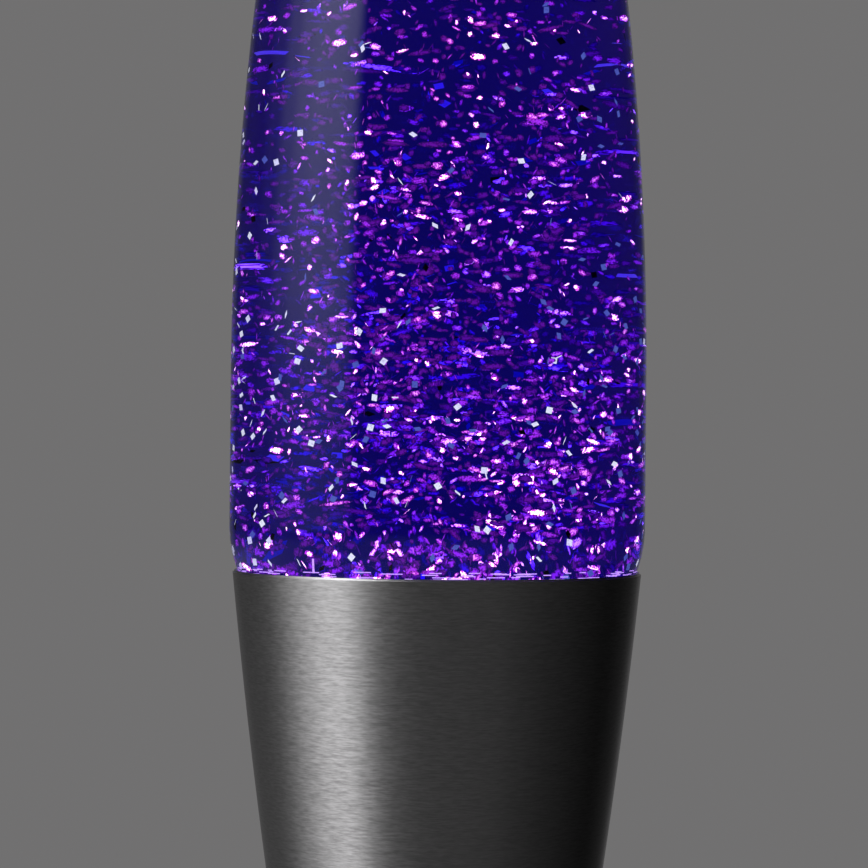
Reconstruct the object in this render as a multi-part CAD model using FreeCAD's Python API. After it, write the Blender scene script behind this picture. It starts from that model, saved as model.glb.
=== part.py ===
"""A glitter lamp: a filled glass bottle that stands in a spun hourglass base, over a small reflector bulb.

Sizes are in millimetres. +Z is up, the origin is on the table under the lamp's axis, and the cord
inlet faces +Y. Each piece is written to parts/ as a solid, or a group of equal solids, of its own.
"""
import FreeCAD, Part
import math
import os
from collections import namedtuple
from FreeCAD import Vector

# Overall sizes
BOTTLE_RADIUS = 45.0        # greatest outside radius of the glass
BASE_HEIGHT = 148.0         # table to the rim of the cup
GLASS_HEIGHT = 198.0        # rim of the cup to the lower edge of the cap
CAP_HEIGHT = 60.0
FOOT_RADIUS = 55.0
WAIST_RADIUS = 32.6
WAIST_HEIGHT = 58.0

# Clearances
SLIDE_GAP = 0.3             # between pieces that move apart
FIT_GAP = 0.05              # between round pieces fixed in one another
LOOSE_GAP = 0.2             # between fixed pieces that are put together by hand
DRILL_REACH = 4.0           # a hole's cutter, above and below the hole's middle
TINY = 1e-6                 # lengths below this count as none

# Glass bottle
BOTTLE_WALL = 2.6
BOTTLE_FLOOR = 5.0
BELLY_RISE = 41.0           # rim to where the glass starts to narrow upwards
SHOULDER_SHARE = 0.62       # glass radius at the cap's lower edge, over the greatest one
NECK_RADIUS = 13.0
NECK_TURN = math.radians(50)  # steepest slope of the shoulder, from the vertical
NECK_FILLET = 8.0
NECK_LENGTH = 5.0
HEEL_RISE = 9.7             # rim to where the glass starts to narrow downwards
HEEL_INSET = 1.8            # how much narrower the glass is at the rim
HEEL_DEPTH = 28.0           # rim to the bottle's underside
HEEL_ROUND = 5.0
PUSH_UP = 2.5               # hollow under the bottle
PUSH_UP_SHARE = 0.78        # radius of that hollow, over the underside's
COLLAR_HEIGHT = 5.0
COLLAR_STEP = 1.4
COLLAR_ROUND = 0.6
FINISH_GROOVE = 6.0
BEAD_HEIGHT = 5.0
BEAD_STEP = 0.5
BEAD_FOOT_ROUND = 0.2
BEAD_ROUND = 1.0
HEADSPACE = 8.0             # liquid's surface below the cap's lower edge

# Glitter
FLAKE_SIDE = 1.2
FLAKE_THICKNESS = 0.05
FLAKE_COUNT = 120
FLAKE_MARGIN = 4.0          # from a flake's centre to the glass, the floor and the surface

# Crown closure
CROWN_SHEET = 0.4
CROWN_SKIRT = 5.5
CROWN_FLARE = 1.8
CROWN_ROUND = 1.5
LINER_THICKNESS = 0.5
LINER_INSET = 0.5           # neck's outside to the liner's edge

# Spun metal shells
SHEET = 0.8
SHELL_BULGE = 0.65
RIM_ROUND = 0.3
FLANGE_HOLE_RADIUS = 24.0
HEM_WIDTH = 10.0
HEM_ROUND = 0.5
WAIST_ROUND = 0.6

# Cap
CAP_TAPER = 8.9             # lower radius less upper radius
CAP_GAP = 0.6               # cap's edge to the glass
CAP_ROUND = 4.0
CAP_RING_RISE = 6.0
CAP_RING_HEIGHT = 6.0

# Seat ring in the cup
SEAT_DEPTH = 6.0            # rim to the top of the ring
SEAT_HEIGHT = 6.0
SEAT_ROUND = 0.4

# Waist joint
BRACKET_SHEET = 1.0
BRACKET_RADIUS = 18.0
BRACKET_ROUND = 1.0
BRACKET_SEAT = 20.0         # table to the disc that carries the lampholder
FLANGE_SCREW_COUNT = 3
SCREW_RADIUS = 1.5
SCREW_HOLE_RADIUS = 1.6
SCREW_HEAD_RADIUS = 2.8
SCREW_HEAD_HEIGHT = 1.6
SCREW_HEAD_ROUND = 0.7
DRIVE_DEPTH = 0.9
DRIVE_SPAN = 3.4
DRIVE_WIDTH = 0.8
NUT_ACROSS_FLATS = 5.5
NUT_HEIGHT = 2.4
SCREW_PAST_NUT = 1.0
WINDOW_COUNT = 3
WINDOW_ANGLE = 84.0
WINDOW_SILL = 4.0           # disc to a window's lower edge
WINDOW_HEAD = 6.0           # window's upper edge to the pan's rim

# Threaded nipple
NIPPLE_RADIUS = 4.95
NIPPLE_BORE = 3.5
NIPPLE_NUT_FLATS = 14.0
NIPPLE_NUT_HEIGHT = 2.5
NIPPLE_PAST_NUT = 0.8
NIPPLE_IN_HOLDER = 6.0
WASHER_RADIUS = 8.2
WASHER_THICKNESS = 0.7
WASHER_TEETH = 16
NOTCH_DEPTH = 0.6
NOTCH_WIDTH = 1.0

# Lampholder
HOLDER_RADIUS = 13.75
HOLDER_WALL = 2.2
HOLDER_HEIGHT = 40.0
HOLDER_FLOOR = 4.0
HOLDER_FOOT_ROUND = 1.5
HOLDER_LIP = 1.2
HOLDER_LIP_HEIGHT = 3.0
HOLDER_LIP_ROUND = 0.6
HOLDER_TOP_ROUND = 1.2
RIB_COUNT = 18
RIB_RADIUS = 0.7
RIB_DEPTH = 0.42
RIB_LOW = 5.0               # shell's lower edge to the ribs
RIB_HIGH = 7.0              # ribs to the shell's upper edge
CORE_THICKNESS = 4.0
CONTACT_HEIGHT = 17.0       # bracket disc to the bulb's contact
CONTACT_SHEET = 0.3
CONTACT_WIDTH = 4.0
CONTACT_LIFT = 2.6          # lampholder's core to the bulb's button
CONTACT_FOOT = -6.0         # the strip's ends and bends, across from the lamp's axis
CONTACT_BEND = -3.0
CONTACT_CREST = 0.6
CONTACT_TIP = 3.0
RIVET_RADIUS = 1.0
RIVET_PLACE = -4.6
RIVET_HEIGHT = 0.6
RIVET_ROUND = 0.3
SLEEVE_WALL = 0.4
SLEEVE_LENGTH = 17.0
SLEEVE_FLARE = 1.0
SLEEVE_FLARE_HEIGHT = 1.5

# Reflector bulb
BULB_LENGTH = 66.0
BULB_RADIUS = 19.5
BULB_NECK = 8.3
BULB_NECK_LENGTH = 2.0      # straight part above the shell's skirt
BULB_IN_SKIRT = 3.0         # thread's top to the lower edge of the glass
BULB_WALL = 0.7
BULB_SHELL_RADIUS = 6.9
THREAD_PITCH = 2.82
THREAD_DEPTH = 0.45
THREAD_TURNS = 5
SHELL_SHEET = 0.35
BULB_CONTACT_RADIUS = 2.4
BULB_CONTACT_TIP = 1.44
BULB_CONTACT_BULGE = 0.4
BULB_CONTACT_HEIGHT = 1.4
INSULATOR_HEIGHT = 4.2
INSULATOR_TIP = 3.6         # radius at the button
INSULATOR_IN_SHELL = 1.0
SKIRT_HEIGHT = 5.5
SKIRT_FLARE = 2.5           # height in which the shell widens to its skirt
BOWL_SHARE = 0.76           # widest point of the bulb, over its length
BOWL_BULGE = 2.2
BULB_CROWN = 4.5            # height of the shallow dome on top
CROWN_EDGE = 2.2            # how far that dome's edge is in from the bulb's side
CROWN_EDGE_BULGE = 1.6
CROWN_EDGE_SHARE = 0.7      # how far the wall's inner side is in at that edge, over the wall
STEM_RADIUS = 3.4
STEM_TIP_RADIUS = 2.0
STEM_LENGTH = 14.0
STEM_GAP = 0.4
STEM_FLARE = 3.5
STEM_ROUND = 0.8
LEAD_RADIUS = 0.35
LEAD_PLACE = 1.2            # lamp's axis to a lead wire
FILAMENT_RADIUS = 0.6
FILAMENT_SPAN = 5.0
FILAMENT_ARCH = 3.0

# Foot plate and what is on it
FOOT_CLEARANCE = 2.0        # table to the underside of the plate
PLATE_THICKNESS = 2.0
PLATE_INSET = 2.5
PLATE_ROUND = 0.6
PAD_RADIUS = 6.0
PAD_ROUND = 0.5
PAD_RECESS = 0.6
PAD_COUNT = 4
PAD_INSET = 8.5             # plate's edge to a pad's centre
PLATE_SCREW_COUNT = 3
PLATE_SCREW_LENGTH = 6.0
VENT_COUNT = 12
VENT_WIDTH = 3.0
VENT_INNER = 14.0
VENT_OUTER = 30.0

# Terminal block
BLOCK_WIDTH = 17.0
BLOCK_DEPTH = 15.0
BLOCK_HEIGHT = 10.0
BLOCK_DISTANCE = 30.0       # lamp's axis to the block's centre
BLOCK_GROOVE_WIDTH = 1.6    # groove between the poles
BLOCK_WEB = 3.4             # block's underside to that groove
BLOCK_BOSS_RADIUS = 2.6
BLOCK_SCREW_DEPTH = 6.0
POLE_PITCH = 8.0
POLE_RADIUS = 2.0
POLE_BORE = 1.2
POLE_SCREW_RADIUS = 1.3
POLE_SCREW_INSET = 4.0
POLE_SCREW_SINK = 1.2       # block's top to the screw's
POLE_SLOT_WIDTH = 0.5
POLE_SLOT_DEPTH = 0.6
SLEEVE_INSET = 1.0          # block's face to the brass tube's end

# Inner wires
WIRE_RADIUS = 0.9
WIRE_SPREAD = 1.5           # half the distance between the wires in the nipple
WIRE_TURN = 6.0
WIRE_STUB = 3.5             # straight run out of the block
WIRE_LEAD = 5.0             # straight run before the turn up into the nipple

# Cord inlet
INLET_RISE = 18.0           # table to the inlet's centre
INLET_BORE = 3.2
INLET_NECK = 4.6
INLET_FLANGE = 6.6
INLET_FLANGE_THICKNESS = 2.0
INLET_TAIL = 3.0
INLET_SLACK = 0.5           # room for the wall's curve behind the inner flange
INLET_BARB = 0.8
INLET_FLANGE_ROUND = 0.9
INLET_EDGE_ROUND = 0.6
INLET_TAIL_ROUND = 0.4

# Places that follow from the sizes above
PLATE_TOP = FOOT_CLEARANCE + PLATE_THICKNESS
SHOULDER_RADIUS = BOTTLE_RADIUS * SHOULDER_SHARE
CAP_EDGE = BASE_HEIGHT + GLASS_HEIGHT
CAP_TOP = CAP_EDGE + CAP_HEIGHT
RIM_GLASS_RADIUS = BOTTLE_RADIUS - HEEL_INSET
RIM_RADIUS = RIM_GLASS_RADIUS + SLIDE_GAP + SHEET
FOOT_SLOPE = math.atan2(FOOT_RADIUS - WAIST_RADIUS, WAIST_HEIGHT - PLATE_TOP)
CUP_SLOPE = math.atan2(RIM_RADIUS - WAIST_RADIUS, BASE_HEIGHT - WAIST_HEIGHT)
FLANGE_SCREW_CIRCLE = (FLANGE_HOLE_RADIUS + WAIST_RADIUS - SHEET) / 2
CONTACT_Z = BRACKET_SEAT + CONTACT_HEIGHT
CORE_TOP = CONTACT_Z - CONTACT_LIFT
CORE_LOW = CORE_TOP - CORE_THICKNESS
PLATE_RADIUS = FOOT_RADIUS - PLATE_INSET
PLATE_SCREW_CIRCLE = FOOT_RADIUS - HEM_WIDTH * 0.62

Corner = namedtuple("Corner", "r z round bulge", defaults=(0.0, 0.0))


# Drawing helpers

def place(r, z):
    """A point of the half section, which is drawn in the XZ plane."""
    return Vector(r, 0, z)


def stretch(start, end, bulge):
    """A straight edge, or an arc whose middle stands out to the right of the way from start to end."""
    if abs(bulge) < TINY:
        return Part.LineSegment(start, end).toShape()
    along = end.sub(start).normalize()
    middle = start.add(end).multiply(0.5).add(Vector(along.z, 0, -along.x).multiply(bulge))
    return Part.Arc(start, middle, end).toShape()


def section(corners):
    """A closed face from its corners. A corner's bulge is that of the stretch that ends there."""
    ends = []
    for i, corner in enumerate(corners):
        here = place(corner.r, corner.z)
        if not corner.round:
            ends.append((here, None, here))
            continue
        last, following = corners[i - 1], corners[(i + 1) % len(corners)]
        back = place(last.r, last.z).sub(here).normalize()
        ahead = place(following.r, following.z).sub(here).normalize()
        half = back.getAngle(ahead) / 2
        setback = corner.round / math.tan(half)
        inward = back.add(ahead).normalize()
        middle = here.add(inward * (corner.round / math.sin(half) - corner.round))
        ends.append((here.add(back * setback), middle, here.add(ahead * setback)))
    edges = []
    for i, corner in enumerate(corners):
        arrive, middle, leave = ends[i]
        start = ends[i - 1][2]
        if start.distanceToPoint(arrive) > TINY:
            edges.append(stretch(start, arrive, corner.bulge))
        if middle:
            edges.append(Part.Arc(arrive, middle, leave).toShape())
    return Part.Face(Part.Wire(edges))


def turned_back(corners):
    """The same corners walked the other way, with each arc still on its own stretch."""
    bulges = [0.0] + [-corner.bulge for corner in reversed(corners)][:-1]
    return [corner._replace(bulge=bulge) for corner, bulge in zip(reversed(corners), bulges)]


def spin(corners):
    """The solid that a half section makes when it turns once about the lamp's axis."""
    return section(corners).revolve(Vector(0, 0, 0), Vector(0, 0, 1), 360)


def tube(outer, inner, low, high):
    """A plain ring between two radii and two heights."""
    ring = Part.makeCylinder(outer, high - low, Vector(0, 0, low))
    return ring.cut(Part.makeCylinder(inner, high - low, Vector(0, 0, low))) if inner else ring


def drill(radius, middle):
    """A round cutter on the lamp's axis, about a height."""
    return Part.makeCylinder(radius, 2 * DRILL_REACH, Vector(0, 0, middle - DRILL_REACH))


def hexagon(across_flats, low, high):
    """A six-sided prism on the lamp's axis."""
    reach = across_flats / math.sqrt(3)
    corners = [Vector(reach * math.cos(turn), reach * math.sin(turn), low)
               for turn in (math.radians(60 * k) for k in range(6))]
    return Part.Face(Part.makePolygon(corners + corners[:1])).extrude(Vector(0, 0, high - low))


def box(width, depth, height, x, y, low):
    """A block centred on x and y, standing on low."""
    return Part.makeBox(width, depth, height, Vector(x - width / 2, y - depth / 2, low))


def circle_of(shape, count, radius, first=0.0):
    """Copies of a shape that is drawn on the axis, spread round a circle."""
    copies = []
    for k in range(count):
        copy = shape.copy()
        copy.translate(Vector(radius, 0, 0))
        copy.rotate(Vector(0, 0, 0), Vector(0, 0, 1), first + 360.0 * k / count)
        copies.append(copy)
    return copies


def rounded_path(points, turn):
    """A wire of straight runs joined by tangent arcs of one radius."""
    edges = []
    leave = points[0]
    for before, here, after in zip(points, points[1:], points[2:]):
        back = before.sub(here).normalize()
        ahead = after.sub(here).normalize()
        half = back.getAngle(ahead) / 2
        inward = back.add(ahead).normalize()
        arrive = here.add(back * (turn / math.tan(half)))
        middle = here.add(inward * (turn / math.sin(half) - turn))
        edges.append(Part.LineSegment(leave, arrive).toShape())
        leave = here.add(ahead * (turn / math.tan(half)))
        edges.append(Part.Arc(arrive, middle, leave).toShape())
    edges.append(Part.LineSegment(leave, points[-1]).toShape())
    return Part.Wire(edges)


def pan_head(shank_radius, shank_length, underside):
    """A cross-recessed screw on the axis, head up, with its head's underside at a height."""
    head = spin([Corner(0, underside), Corner(SCREW_HEAD_RADIUS, underside),
                 Corner(SCREW_HEAD_RADIUS, underside + SCREW_HEAD_HEIGHT, SCREW_HEAD_ROUND),
                 Corner(0, underside + SCREW_HEAD_HEIGHT)])
    shank = Part.makeCylinder(shank_radius, shank_length, Vector(0, 0, underside - shank_length))
    drive_low = underside + SCREW_HEAD_HEIGHT - DRIVE_DEPTH
    drive = box(DRIVE_SPAN, DRIVE_WIDTH, DRIVE_DEPTH, 0, 0, drive_low)
    return head.fuse(shank).cut(drive.fuse(box(DRIVE_WIDTH, DRIVE_SPAN, DRIVE_DEPTH, 0, 0, drive_low)))


def upside_down(shape, mirror_height):
    """A shape turned over about a level line at a height."""
    turned = shape.copy()
    turned.rotate(Vector(0, 0, mirror_height), Vector(1, 0, 0), 180)
    return turned


# Glass bottle

def swept(centre_r, centre_z, radius, angle):
    """A point on an arc of the bottle's side, by the slope there."""
    return centre_r + radius * math.cos(angle), centre_z + radius * math.sin(angle)


def sagitta(radius, turn):
    """How far an arc stands off its chord."""
    return radius * (1 - math.cos(turn / 2))


def dome(radius, height):
    """Bulge of a spherical dome's section, from its edge to its crown."""
    sphere = (radius ** 2 + height ** 2) / (2 * height)
    return sagitta(sphere, math.asin(radius / sphere))


def bottle_arcs():
    """Radii, centres and end slopes of the arcs of the bottle's side."""
    height = GLASS_HEIGHT - BELLY_RISE
    drop = BOTTLE_RADIUS - SHOULDER_RADIUS
    belly = (height ** 2 + drop ** 2) / (2 * drop)
    belly_turn = math.asin(height / belly)
    rest = SHOULDER_RADIUS - NECK_RADIUS - NECK_FILLET * (1 - math.cos(NECK_TURN))
    shoulder = rest / (math.cos(belly_turn) - math.cos(NECK_TURN))
    heel = (HEEL_RISE ** 2 + HEEL_INSET ** 2) / (2 * HEEL_INSET)
    heel_turn = math.asin(HEEL_RISE / heel)
    belly_centre = (BOTTLE_RADIUS - belly, BASE_HEIGHT + BELLY_RISE)
    joint = swept(*belly_centre, belly, belly_turn)
    shoulder_centre = swept(*joint, -shoulder, belly_turn)
    joint = swept(*shoulder_centre, shoulder, NECK_TURN)
    neck_centre = swept(*joint, NECK_FILLET, NECK_TURN)
    heel_centre = (BOTTLE_RADIUS - heel, BASE_HEIGHT + HEEL_RISE)
    return {"belly": (belly, belly_centre, belly_turn), "shoulder": (shoulder, shoulder_centre),
            "neck": neck_centre, "heel": (heel, heel_centre, heel_turn)}


ARCS = bottle_arcs()
BOTTLE_BOTTOM = BASE_HEIGHT - HEEL_DEPTH
NECK_START = ARCS["neck"][1]
BOTTLE_TOP = NECK_START + NECK_LENGTH + COLLAR_HEIGHT + FINISH_GROOVE + BEAD_HEIGHT


def cone_radius(inset, z):
    """Radius of the straight lower part of the bottle at a height."""
    heel, (centre_r, centre_z), turn = ARCS["heel"]
    joint_r, joint_z = swept(centre_r, centre_z, heel - inset, -turn)
    return joint_r - (joint_z - z) * math.tan(turn)


def shoulder_radius(clear, z):
    """Radius at a height of a surface that keeps clear of the glass under the cap."""
    radius, (centre_r, centre_z) = ARCS["shoulder"]
    return centre_r + math.sqrt((radius + clear) ** 2 - (z - centre_z) ** 2)


def bottle_side(inset):
    """Corners of the bottle's side from the heel's foot up to the neck, moved inwards by inset."""
    belly, belly_centre, belly_turn = ARCS["belly"]
    shoulder, shoulder_centre = ARCS["shoulder"]
    heel, heel_centre, heel_turn = ARCS["heel"]
    neck_r, neck_z = swept(*ARCS["neck"], -(NECK_FILLET + inset), 0)
    return [
        Corner(*swept(*heel_centre, heel - inset, -heel_turn)),
        Corner(BOTTLE_RADIUS - inset, heel_centre[1], 0, sagitta(heel - inset, heel_turn)),
        Corner(BOTTLE_RADIUS - inset, belly_centre[1]),
        Corner(*swept(*belly_centre, belly - inset, belly_turn), 0, sagitta(belly - inset, belly_turn)),
        Corner(*swept(*shoulder_centre, shoulder - inset, NECK_TURN), 0,
               sagitta(shoulder - inset, NECK_TURN - belly_turn)),
        Corner(neck_r, neck_z, 0, -sagitta(NECK_FILLET + inset, NECK_TURN)),
    ]


def bottle_outside():
    """The bottle's outer form as one full solid."""
    foot = cone_radius(0, BOTTLE_BOTTOM)
    hollow = foot * PUSH_UP_SHARE
    collar_low = NECK_START + NECK_LENGTH
    collar_high = collar_low + COLLAR_HEIGHT
    groove_high = collar_high + FINISH_GROOVE
    return spin([
        Corner(0, BOTTLE_BOTTOM + PUSH_UP),
        Corner(hollow, BOTTLE_BOTTOM, 0, -dome(hollow, PUSH_UP)),
        Corner(foot, BOTTLE_BOTTOM, HEEL_ROUND),
        *bottle_side(0),
        Corner(NECK_RADIUS, collar_low),
        Corner(NECK_RADIUS + COLLAR_STEP, collar_low, COLLAR_ROUND),
        Corner(NECK_RADIUS + COLLAR_STEP, collar_high, COLLAR_ROUND),
        Corner(NECK_RADIUS, collar_high),
        Corner(NECK_RADIUS, groove_high),
        Corner(NECK_RADIUS + BEAD_STEP, groove_high, BEAD_FOOT_ROUND),
        Corner(NECK_RADIUS + BEAD_STEP, BOTTLE_TOP, BEAD_ROUND),
        Corner(0, BOTTLE_TOP),
    ])


def bottle_cavity():
    """The space inside the glass, run on above the mouth."""
    floor = BOTTLE_BOTTOM + BOTTLE_FLOOR
    bore = NECK_RADIUS - BOTTLE_WALL
    hollow = cone_radius(BOTTLE_WALL, floor) * PUSH_UP_SHARE
    above = BOTTLE_TOP + DRILL_REACH
    return spin([
        Corner(0, floor + PUSH_UP),
        Corner(hollow, floor, 0, -dome(hollow, PUSH_UP)),
        Corner(cone_radius(BOTTLE_WALL, floor), floor, HEEL_ROUND),
        *bottle_side(BOTTLE_WALL),
        Corner(bore, above),
        Corner(0, above),
    ])


def flakes():
    """Square glitter flakes spread through the liquid, each turned its own way."""
    low = BOTTLE_BOTTOM + BOTTLE_FLOOR + PUSH_UP + FLAKE_MARGIN
    high = CAP_EDGE - HEADSPACE - FLAKE_MARGIN
    reach = SHOULDER_RADIUS - BOTTLE_WALL - FLAKE_MARGIN
    golden = (math.sqrt(5) - 1) / 2
    golden_turn = 2 * math.pi * (1 - golden)
    made = []
    for k in range(FLAKE_COUNT):
        share = (k + 0.5) / FLAKE_COUNT
        radius = reach * math.sqrt((k * golden) % 1.0)
        turn = k * golden_turn
        flake = box(FLAKE_SIDE, FLAKE_SIDE, FLAKE_THICKNESS, 0, 0, -FLAKE_THICKNESS / 2)
        flake.rotate(Vector(0, 0, 0), Vector(math.cos(k), math.sin(k), 0), math.degrees(turn))
        flake.translate(Vector(radius * math.cos(turn), radius * math.sin(turn),
                               low + (high - low) * share))
        made.append(flake)
    return Part.makeCompound(made)


def crown_closure():
    """Pressed metal crown over the bottle's mouth."""
    under = BOTTLE_TOP + LINER_THICKNESS
    inner = NECK_RADIUS + BEAD_STEP + LOOSE_GAP
    edge = under - CROWN_SKIRT
    return spin([
        Corner(0, under), Corner(inner, under, CROWN_ROUND / 2), Corner(inner + CROWN_FLARE, edge),
        Corner(inner + CROWN_FLARE + CROWN_SHEET, edge),
        Corner(inner + CROWN_SHEET, under + CROWN_SHEET, CROWN_ROUND), Corner(0, under + CROWN_SHEET),
    ])


def closure_liner():
    """Sealing disc between the crown and the bottle's mouth."""
    return tube(NECK_RADIUS - LINER_INSET, 0, BOTTLE_TOP, BOTTLE_TOP + LINER_THICKNESS)


# Spun shells

def chord_radius(low, high, z):
    """Radius at a height on the straight line between two (radius, height) points."""
    share = (z - low[1]) / (high[1] - low[1])
    return low[0] + (high[0] - low[0]) * share


def shell_radius(low, high, z):
    """Radius at a height of a bulged shell between two (radius, height) points."""
    share = (z - low[1]) / (high[1] - low[1])
    slope = math.atan2(abs(high[0] - low[0]), abs(high[1] - low[1]))
    return chord_radius(low, high, z) + 4 * share * (1 - share) * SHELL_BULGE / math.cos(slope)


CUP_LOW = (WAIST_RADIUS, WAIST_HEIGHT)
CUP_HIGH = (RIM_RADIUS, BASE_HEIGHT)
FOOT_LOW = (FOOT_RADIUS, PLATE_TOP)
FOOT_HIGH = (WAIST_RADIUS, WAIST_HEIGHT)
CUP_WALL = SHEET / math.cos(CUP_SLOPE)      # level thickness of the sloping sheet
FOOT_WALL = SHEET / math.cos(FOOT_SLOPE)


def flange_screw_holes():
    """Cutters for the screws through the waist's stacked flanges."""
    return circle_of(drill(SCREW_HOLE_RADIUS, WAIST_HEIGHT), FLANGE_SCREW_COUNT, FLANGE_SCREW_CIRCLE)


def base_cup():
    """Upper half of the hourglass, with a flange at the waist."""
    shell = spin([
        Corner(FLANGE_HOLE_RADIUS, WAIST_HEIGHT), Corner(WAIST_RADIUS, WAIST_HEIGHT, WAIST_ROUND),
        Corner(RIM_RADIUS, BASE_HEIGHT, RIM_ROUND, SHELL_BULGE),
        Corner(RIM_RADIUS - CUP_WALL, BASE_HEIGHT, RIM_ROUND),
        Corner(WAIST_RADIUS - CUP_WALL, WAIST_HEIGHT + SHEET, 0, -SHELL_BULGE),
        Corner(FLANGE_HOLE_RADIUS, WAIST_HEIGHT + SHEET),
    ])
    return shell.cut(flange_screw_holes())


def base_foot():
    """Lower half of the hourglass, with a flange at the waist and a hem turned in at the bottom."""
    shell = spin([
        Corner(FLANGE_HOLE_RADIUS, WAIST_HEIGHT - SHEET),
        Corner(WAIST_RADIUS - FOOT_WALL, WAIST_HEIGHT - SHEET),
        Corner(FOOT_RADIUS - FOOT_WALL, PLATE_TOP + SHEET, 0, -SHELL_BULGE),
        Corner(FOOT_RADIUS - HEM_WIDTH, PLATE_TOP + SHEET), Corner(FOOT_RADIUS - HEM_WIDTH, PLATE_TOP),
        Corner(FOOT_RADIUS, PLATE_TOP, HEM_ROUND),
        Corner(WAIST_RADIUS, WAIST_HEIGHT, WAIST_ROUND, SHELL_BULGE),
        Corner(FLANGE_HOLE_RADIUS, WAIST_HEIGHT),
    ])
    pilots = plate_screw_places(drill(SCREW_RADIUS + FIT_GAP, PLATE_TOP))
    inlet = at_inlet(drill(INLET_NECK + FIT_GAP, 0))
    return shell.cut(flange_screw_holes() + pilots + [inlet])


def seat_ring():
    """Soft ring wedged in the cup, with a tapered seat for the bottle."""
    high = BASE_HEIGHT - SEAT_DEPTH
    low = high - SEAT_HEIGHT
    outer = [shell_radius(CUP_LOW, CUP_HIGH, z) - CUP_WALL - 2 * FIT_GAP for z in (low, high)]
    inner = [cone_radius(-SLIDE_GAP, z) for z in (low, high)]
    return spin([Corner(inner[0], low, SEAT_ROUND), Corner(outer[0], low, SEAT_ROUND),
                 Corner(outer[1], high, SEAT_ROUND), Corner(inner[1], high, SEAT_ROUND)])


# Waist joint and lampholder

def holder_bracket():
    """Pressed pan under the waist's flanges, cut away into legs, that carries the lampholder."""
    top = WAIST_HEIGHT - SHEET
    rim = WAIST_RADIUS - FOOT_WALL - LOOSE_GAP
    pan = spin([
        Corner(NIPPLE_RADIUS + FIT_GAP, BRACKET_SEAT - BRACKET_SHEET),
        Corner(BRACKET_RADIUS + BRACKET_SHEET, BRACKET_SEAT - BRACKET_SHEET, BRACKET_ROUND + BRACKET_SHEET),
        Corner(BRACKET_RADIUS + BRACKET_SHEET, top - BRACKET_SHEET),
        Corner(rim, top - BRACKET_SHEET), Corner(rim, top), Corner(BRACKET_RADIUS, top, BRACKET_ROUND),
        Corner(BRACKET_RADIUS, BRACKET_SEAT, BRACKET_ROUND), Corner(NIPPLE_RADIUS + FIT_GAP, BRACKET_SEAT),
    ])
    low = BRACKET_SEAT + WINDOW_SILL
    height = top - WINDOW_HEAD - low
    wedge = Part.makeCylinder(WAIST_RADIUS, height, Vector(0, 0, low), Vector(0, 0, 1), WINDOW_ANGLE)
    first = 180.0 / WINDOW_COUNT - WINDOW_ANGLE / 2
    return pan.cut(circle_of(wedge, WINDOW_COUNT, 0, first) + flange_screw_holes())


def flange_screws():
    """Screws through the waist, heads inside the cup."""
    length = 2 * SHEET + BRACKET_SHEET + NUT_HEIGHT + SCREW_PAST_NUT
    screw = pan_head(SCREW_RADIUS, length, WAIST_HEIGHT + SHEET)
    return Part.makeCompound(circle_of(screw, FLANGE_SCREW_COUNT, FLANGE_SCREW_CIRCLE))


def flange_nuts():
    """Nuts on those screws, under the bracket."""
    top = WAIST_HEIGHT - SHEET - BRACKET_SHEET
    nut = hexagon(NUT_ACROSS_FLATS, top - NUT_HEIGHT, top)
    bore = Part.makeCylinder(SCREW_RADIUS + FIT_GAP, NUT_HEIGHT, Vector(0, 0, top - NUT_HEIGHT))
    return Part.makeCompound(circle_of(nut.cut(bore), FLANGE_SCREW_COUNT, FLANGE_SCREW_CIRCLE))


def nipple_nut_low():
    """Height of the underside of the nipple's nut."""
    return BRACKET_SEAT - BRACKET_SHEET - WASHER_THICKNESS - NIPPLE_NUT_HEIGHT


def threaded_nipple():
    """Hollow threaded tube that holds the lampholder to the bracket and lets the wires through."""
    low = nipple_nut_low() - NIPPLE_PAST_NUT
    return tube(NIPPLE_RADIUS, NIPPLE_BORE, low, BRACKET_SEAT + NIPPLE_IN_HOLDER)


def nipple_nut():
    """Thin nut on the nipple."""
    low = nipple_nut_low()
    nut = hexagon(NIPPLE_NUT_FLATS, low, low + NIPPLE_NUT_HEIGHT)
    return nut.cut(Part.makeCylinder(NIPPLE_RADIUS + FIT_GAP, NIPPLE_NUT_HEIGHT, Vector(0, 0, low)))


def lock_washer():
    """Toothed washer between the nut and the bracket."""
    top = BRACKET_SEAT - BRACKET_SHEET
    washer = tube(WASHER_RADIUS, NIPPLE_RADIUS + FIT_GAP, top - WASHER_THICKNESS, top)
    notch = box(2 * NOTCH_DEPTH, NOTCH_WIDTH, 2 * WASHER_THICKNESS, 0, 0, top - 1.5 * WASHER_THICKNESS)
    return washer.cut(circle_of(notch, WASHER_TEETH, WASHER_RADIUS))


def holder_base():
    """Lower half of the lampholder, hollow for the wires, on the nipple."""
    inner = HOLDER_RADIUS - HOLDER_WALL
    low = BRACKET_SEAT
    floor = low + HOLDER_FLOOR
    return spin([
        Corner(NIPPLE_RADIUS + FIT_GAP, low), Corner(HOLDER_RADIUS, low, HOLDER_FOOT_ROUND),
        Corner(HOLDER_RADIUS, CORE_LOW), Corner(inner, CORE_LOW), Corner(inner, floor),
        Corner(NIPPLE_RADIUS + FIT_GAP, floor),
    ])


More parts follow.
